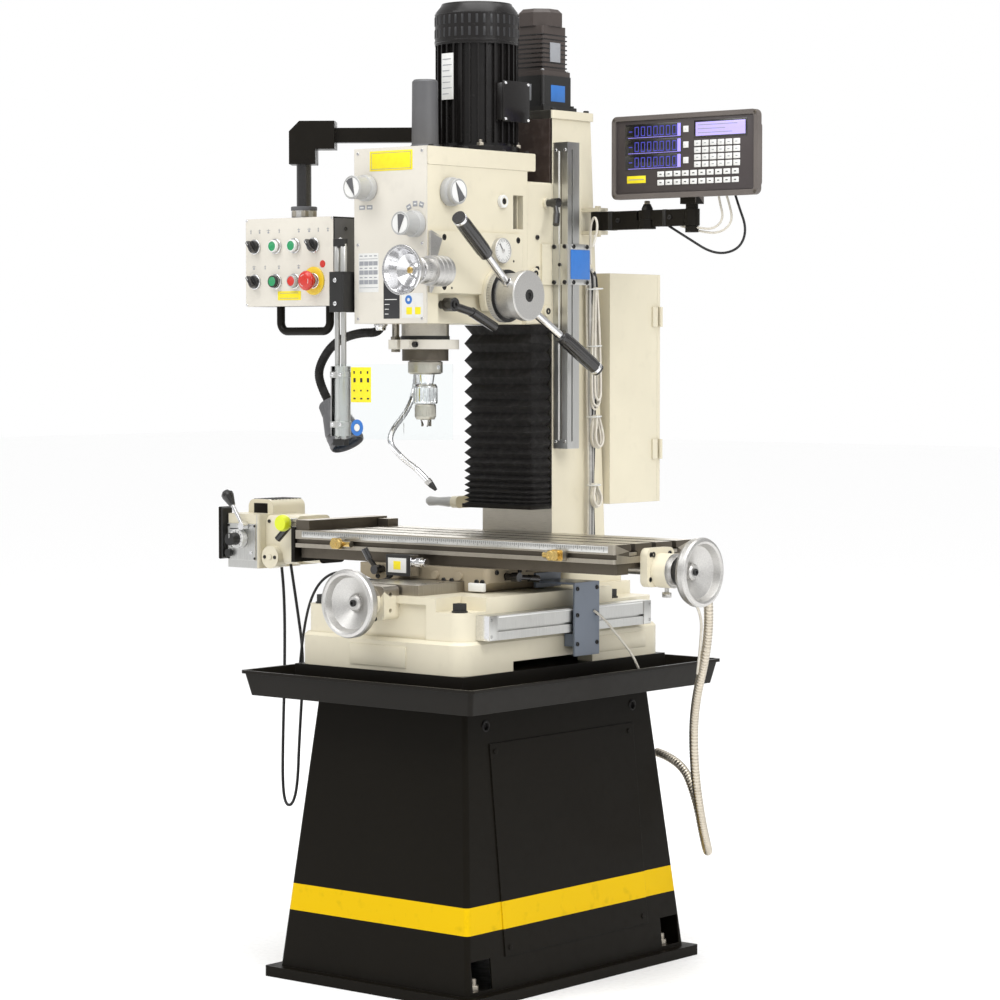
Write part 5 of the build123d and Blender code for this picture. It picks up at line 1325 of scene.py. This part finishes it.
def console_details():
    s = Shape()
    s.box("fascia", 184, 508, 177.5, 178.2, 1505, 1644, 0.4)
    f = 177.5

    def lit(key, x0, x1, z0, z1, lift=0.8, thick=0.3, edge=0.0):
        s.box(key, x0, x1, f - lift - thick, f - lift, z0, z1, edge)
    for z0, z1 in ((1611, 1636), (1581, 1606.5), (1551.5, 1577)):
        middle, foot, high = (z0 + z1) / 2, z0 + 3.4, z1 - z0 - 6.8
        lit("gloss", 206, 340, z0 - 1.5, z1 + 1.5, 0, 0.8, 0.5)
        lit("led", 215, 223, middle - 0.8, middle + 0.8)
        for x in range(229, 320, 15):
            for a, b, c, d in ZERO:
                lit("led", x + 9.6 * a, x + 9.6 * b, foot + high * c, foot + high * d)
        lit("violet", 331, 338.5, z0 + 0.5, z1 - 0.5, 0.75, 0.25, 0.1)
        lit("violet", 213, 331, z0 + 0.2, z0 + 0.9, 0.75, 0.15)
        lit("led", 285.4, 287.4, foot, z0 + 5.4)
        lit("white", 345, 357, middle - 6, middle + 6, 0, 1.8, 1.2)
        lit("label", 349, 353, middle - 2, middle + 2, 1.7, 0.4, 0.2)
    lit("gloss", 370, 493, 1605.5, 1638.5, 0, 0.8, 0.6)
    lit("lcd", 374, 489, 1609, 1635, 0.7, 0.4, 0.2)
    for r, wide in enumerate((92, 64, 80)):
        lit("label_grey", 379, 379 + wide, 1629 - 7.5 * r, 1630.4 - 7.5 * r, 1.0)
    for r, c in product(range(4), range(6)):
        x, z = 371 + 18.2 * c, 1590 - 13.4 * r
        lit("white", x, x + 15, z, z + 10.8, 0, 2.0, 1.2)
        lit("label_grey", x + 5, x + 10, z + 4.4, z + 6, 1.9)
    for z, c in product((1534.5, 1518.5), range(10)):
        x = 284 + 19.4 * c
        lit("white", x, x + 15.6, z, z + 10.4, 0, 2.0, 1.2)
        lit("label_black", x + 5.4, x + 10.4, z + 4, z + 6, 1.9)
    lit("label_yellow", 210, 255, 1524.5, 1538.5, 0, 0.4, 0.2)
    lit("label_grey", 214, 251, 1530.6, 1532.2, 0.3)
    s.screws((180, 512), (175,), (1500, 1648), "-y", 3.2, 1.2, "dark_iron")
    for x, z in product(range(214, 462, 19), (1600, 1530)):
        s.box("label_black", x, x + 11, 224.7, 225.3, z, z + 26, 0.3)
    s.box("dark_grey", 206, 300, 224.8, 229, 1565, 1592, 1.0)
    for x in (222, 254, 286):
        s.lathe("dark_iron", (x, 228.8, 1578), "y", [(0, 0), (8, 0), (8, 3), (5, 3.6), (0, 3.6)], 24)
    s.box("plastic", 440, 468, 224.8, 229, 1562, 1592, 1.2)
    s.make("console_details", "console", "console_grey")
    s = Shape()
    s.lathe("plastic", (239, 204, 1473), "z", [(0, 0), (12, 0), (12, 4), (9, 9), (8, 12), (0, 12)], 6)
    s.lathe("iron", (239, 204, 1485), "z", [(0, 0), (6, 0), (6, 5), (5, 6.4), (0, 6.4)], 6)
    s.screw((175, 194.9, 1455), "-y", 4.4, 3, "plastic")
    s.box("plastic", 150, 160, 194.2, 213.8, 1436.4, 1473.6, 1.0)
    s.make("display_arm_fittings", "dro_rear", "black_paint")
    s = Shape()
    s.box("plastic", 282, 290, 194.2, 213.8, 1440.4, 1473.6, 1.0)
    s.screw((300, 194.9, 1458), "-y", 4.4, 3, "plastic")
    s.make("display_arm_clip", "dro_front", "black_paint")


# ---------------------------------------------------------------- cables and hose
HOSE_PITCH = 6.4
HOSE_CLIP_Z = 640                               # where the hose passes from the table to the saddle


def path_length(line):
    return sum((b - a).length for a, b in zip(line, line[1:]))


def ribbed_hose(name, line, radius):
    """Strip-wound conduit along a line: a row of rounded turns with thin grooves between them."""
    s = Shape()
    fine = [line[0]]
    for a, b in zip(line, line[1:]):
        steps = max(1, round((b - a).length / (HOSE_PITCH / 4)))
        fine += [a + (b - a) * (k + 1) / steps for k in range(steps)]
    s.sweep("hose", fine, radius, 14, [radius * (0.86, 0.985, 1.0, 0.985)[k % 4] for k in range(len(fine))])
    hose = s.make(name, None, "conduit_metal", ("drain_hose",), smooth=50)
    metres = [tuple(p / 1000) for p in line]
    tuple(metres[-1])
    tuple(metres[0])
    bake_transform(hose)
    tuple(metres[0])
    path_length(line) / 1000


def free_cable(name, key, radius, places, bodies, replaces=()):
    """One round cable along a smooth line, riding on its body, or left loose in the scene when it is given
    two bodies.
    """
    line = route(places, 14)
    s = Shape()
    s.sweep(key, line, radius, 14)
    cable = s.make(name, bodies[0] if len(bodies) == 1 else None, "cable_black", replaces)
    metres = [tuple(p / 1000) for p in line]
    if len(bodies) == 2:
        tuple(metres[0])
        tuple(metres[-1])
        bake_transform(cable)
    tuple(metres[0])
    path_length(line) / 1000


def cords():
    """The table's drain hose in its two hanging runs, and the loose cables."""
    line = route([(431, 70, 800), (462, 76, 796), (470, 92, 740), (448, 118, 640), (392, 150, 520),
                  (372, 180, 400), (352, 232, 290), (330, 290, 212), (300, 316, 232), (262, 338, 320),
                  (215, 352, 385), (150, 356, 396)], 16)
    cut = min(range(len(line) // 2), key=lambda k: abs(line[k].z - HOSE_CLIP_Z))
    ribbed_hose("drain_hose_upper", line[:cut + 1], 9.0)
    ribbed_hose("drain_hose_lower", line[cut:], 9.0)
    free_cable("power_feed_cable", "cable", 3.0,
               [(-478, -72, 763.2), (-472, -70, 714), (-470, -72, 560), (-472, -76, 420), (-468, -82, 322),
                (-454, -88, 282), (-434, -88, 284), (-422, -86, 326), (-419, -84, 420), (-418, -70, 580),
                (-446, -62, 690), (-462, -62, 769.5)], ("table",), ("pf_cable",))
    free_cable("switch_cable", "cable", 2.6,
               [(-80, -182, 771), (-92, -186, 761), (-126, -192, 759), (-160, -204, 771), (-200, -224, 776),
                (-228, -248, 738), (-238, -266, 655), (-240, -274, 572)], ("saddle", "machine"))
    free_cable("display_cable_black", "cable", 2.4,
               [(436, 212, 1512), (446, 214, 1480), (468, 214, 1430), (450, 212, 1392), (396, 208, 1384),
                (330, 206, 1420), (292, 204, 1441)], ("console", "dro_front"))
    free_cable("display_cable_light", "pale_cable", 2.2,
               [(414, 214, 1512), (424, 216, 1484), (434, 216, 1446), (404, 214, 1424), (356, 210, 1430),
                (318, 206, 1441)], ("console", "dro_front"))
    free_cable("display_cable_pale", "pale_cable", 2.2,
               [(404, 206, 1512), (408, 208, 1484), (418, 208, 1452), (396, 206, 1432), (356, 204, 1437),
                (330, 202, 1441)], ("console", "dro_front"))
    free_cable("reader_cable", "pale_cable", 2.4,
               [(133, 168, 1404), (141, 170, 1426), (143, 171, 1450), (134, 173, 1464), (123, 176, 1452),
                (118, 179, 1424), (118, 182, 1370)], ("head", "machine"))
    free_cable("cross_reader_cable", "pale_cable", 2.4,
               [(236, 40, 706), (246, 52, 696), (262, 90, 650), (276, 124, 606), (276, 140, 570)],
               ("saddle", "machine"))
    free_cable("bracket_cable_light", "pale_cable", 2.6,
               [(438, 30, 772), (448, 62, 748), (450, 96, 704), (442, 104, 650), (420, 124, 590)],
               ("table", "saddle"))


stand_details()
base_details()
handwheel_marks()
saddle_details()
table_details()
stop_dog_knobs()
power_feed_details()
bellows()
way_cover()
z_drive_details()
cabinet_details()
wiring_loom()
panel_labels()
head_knobs()
side_details()
downfeed_details()
quill_details()
motor_details()
guard_details()
lamp_and_coolant()
pendant_details()
push_caps()
selector_caps()
stop_mushroom()
console_details()
cords()
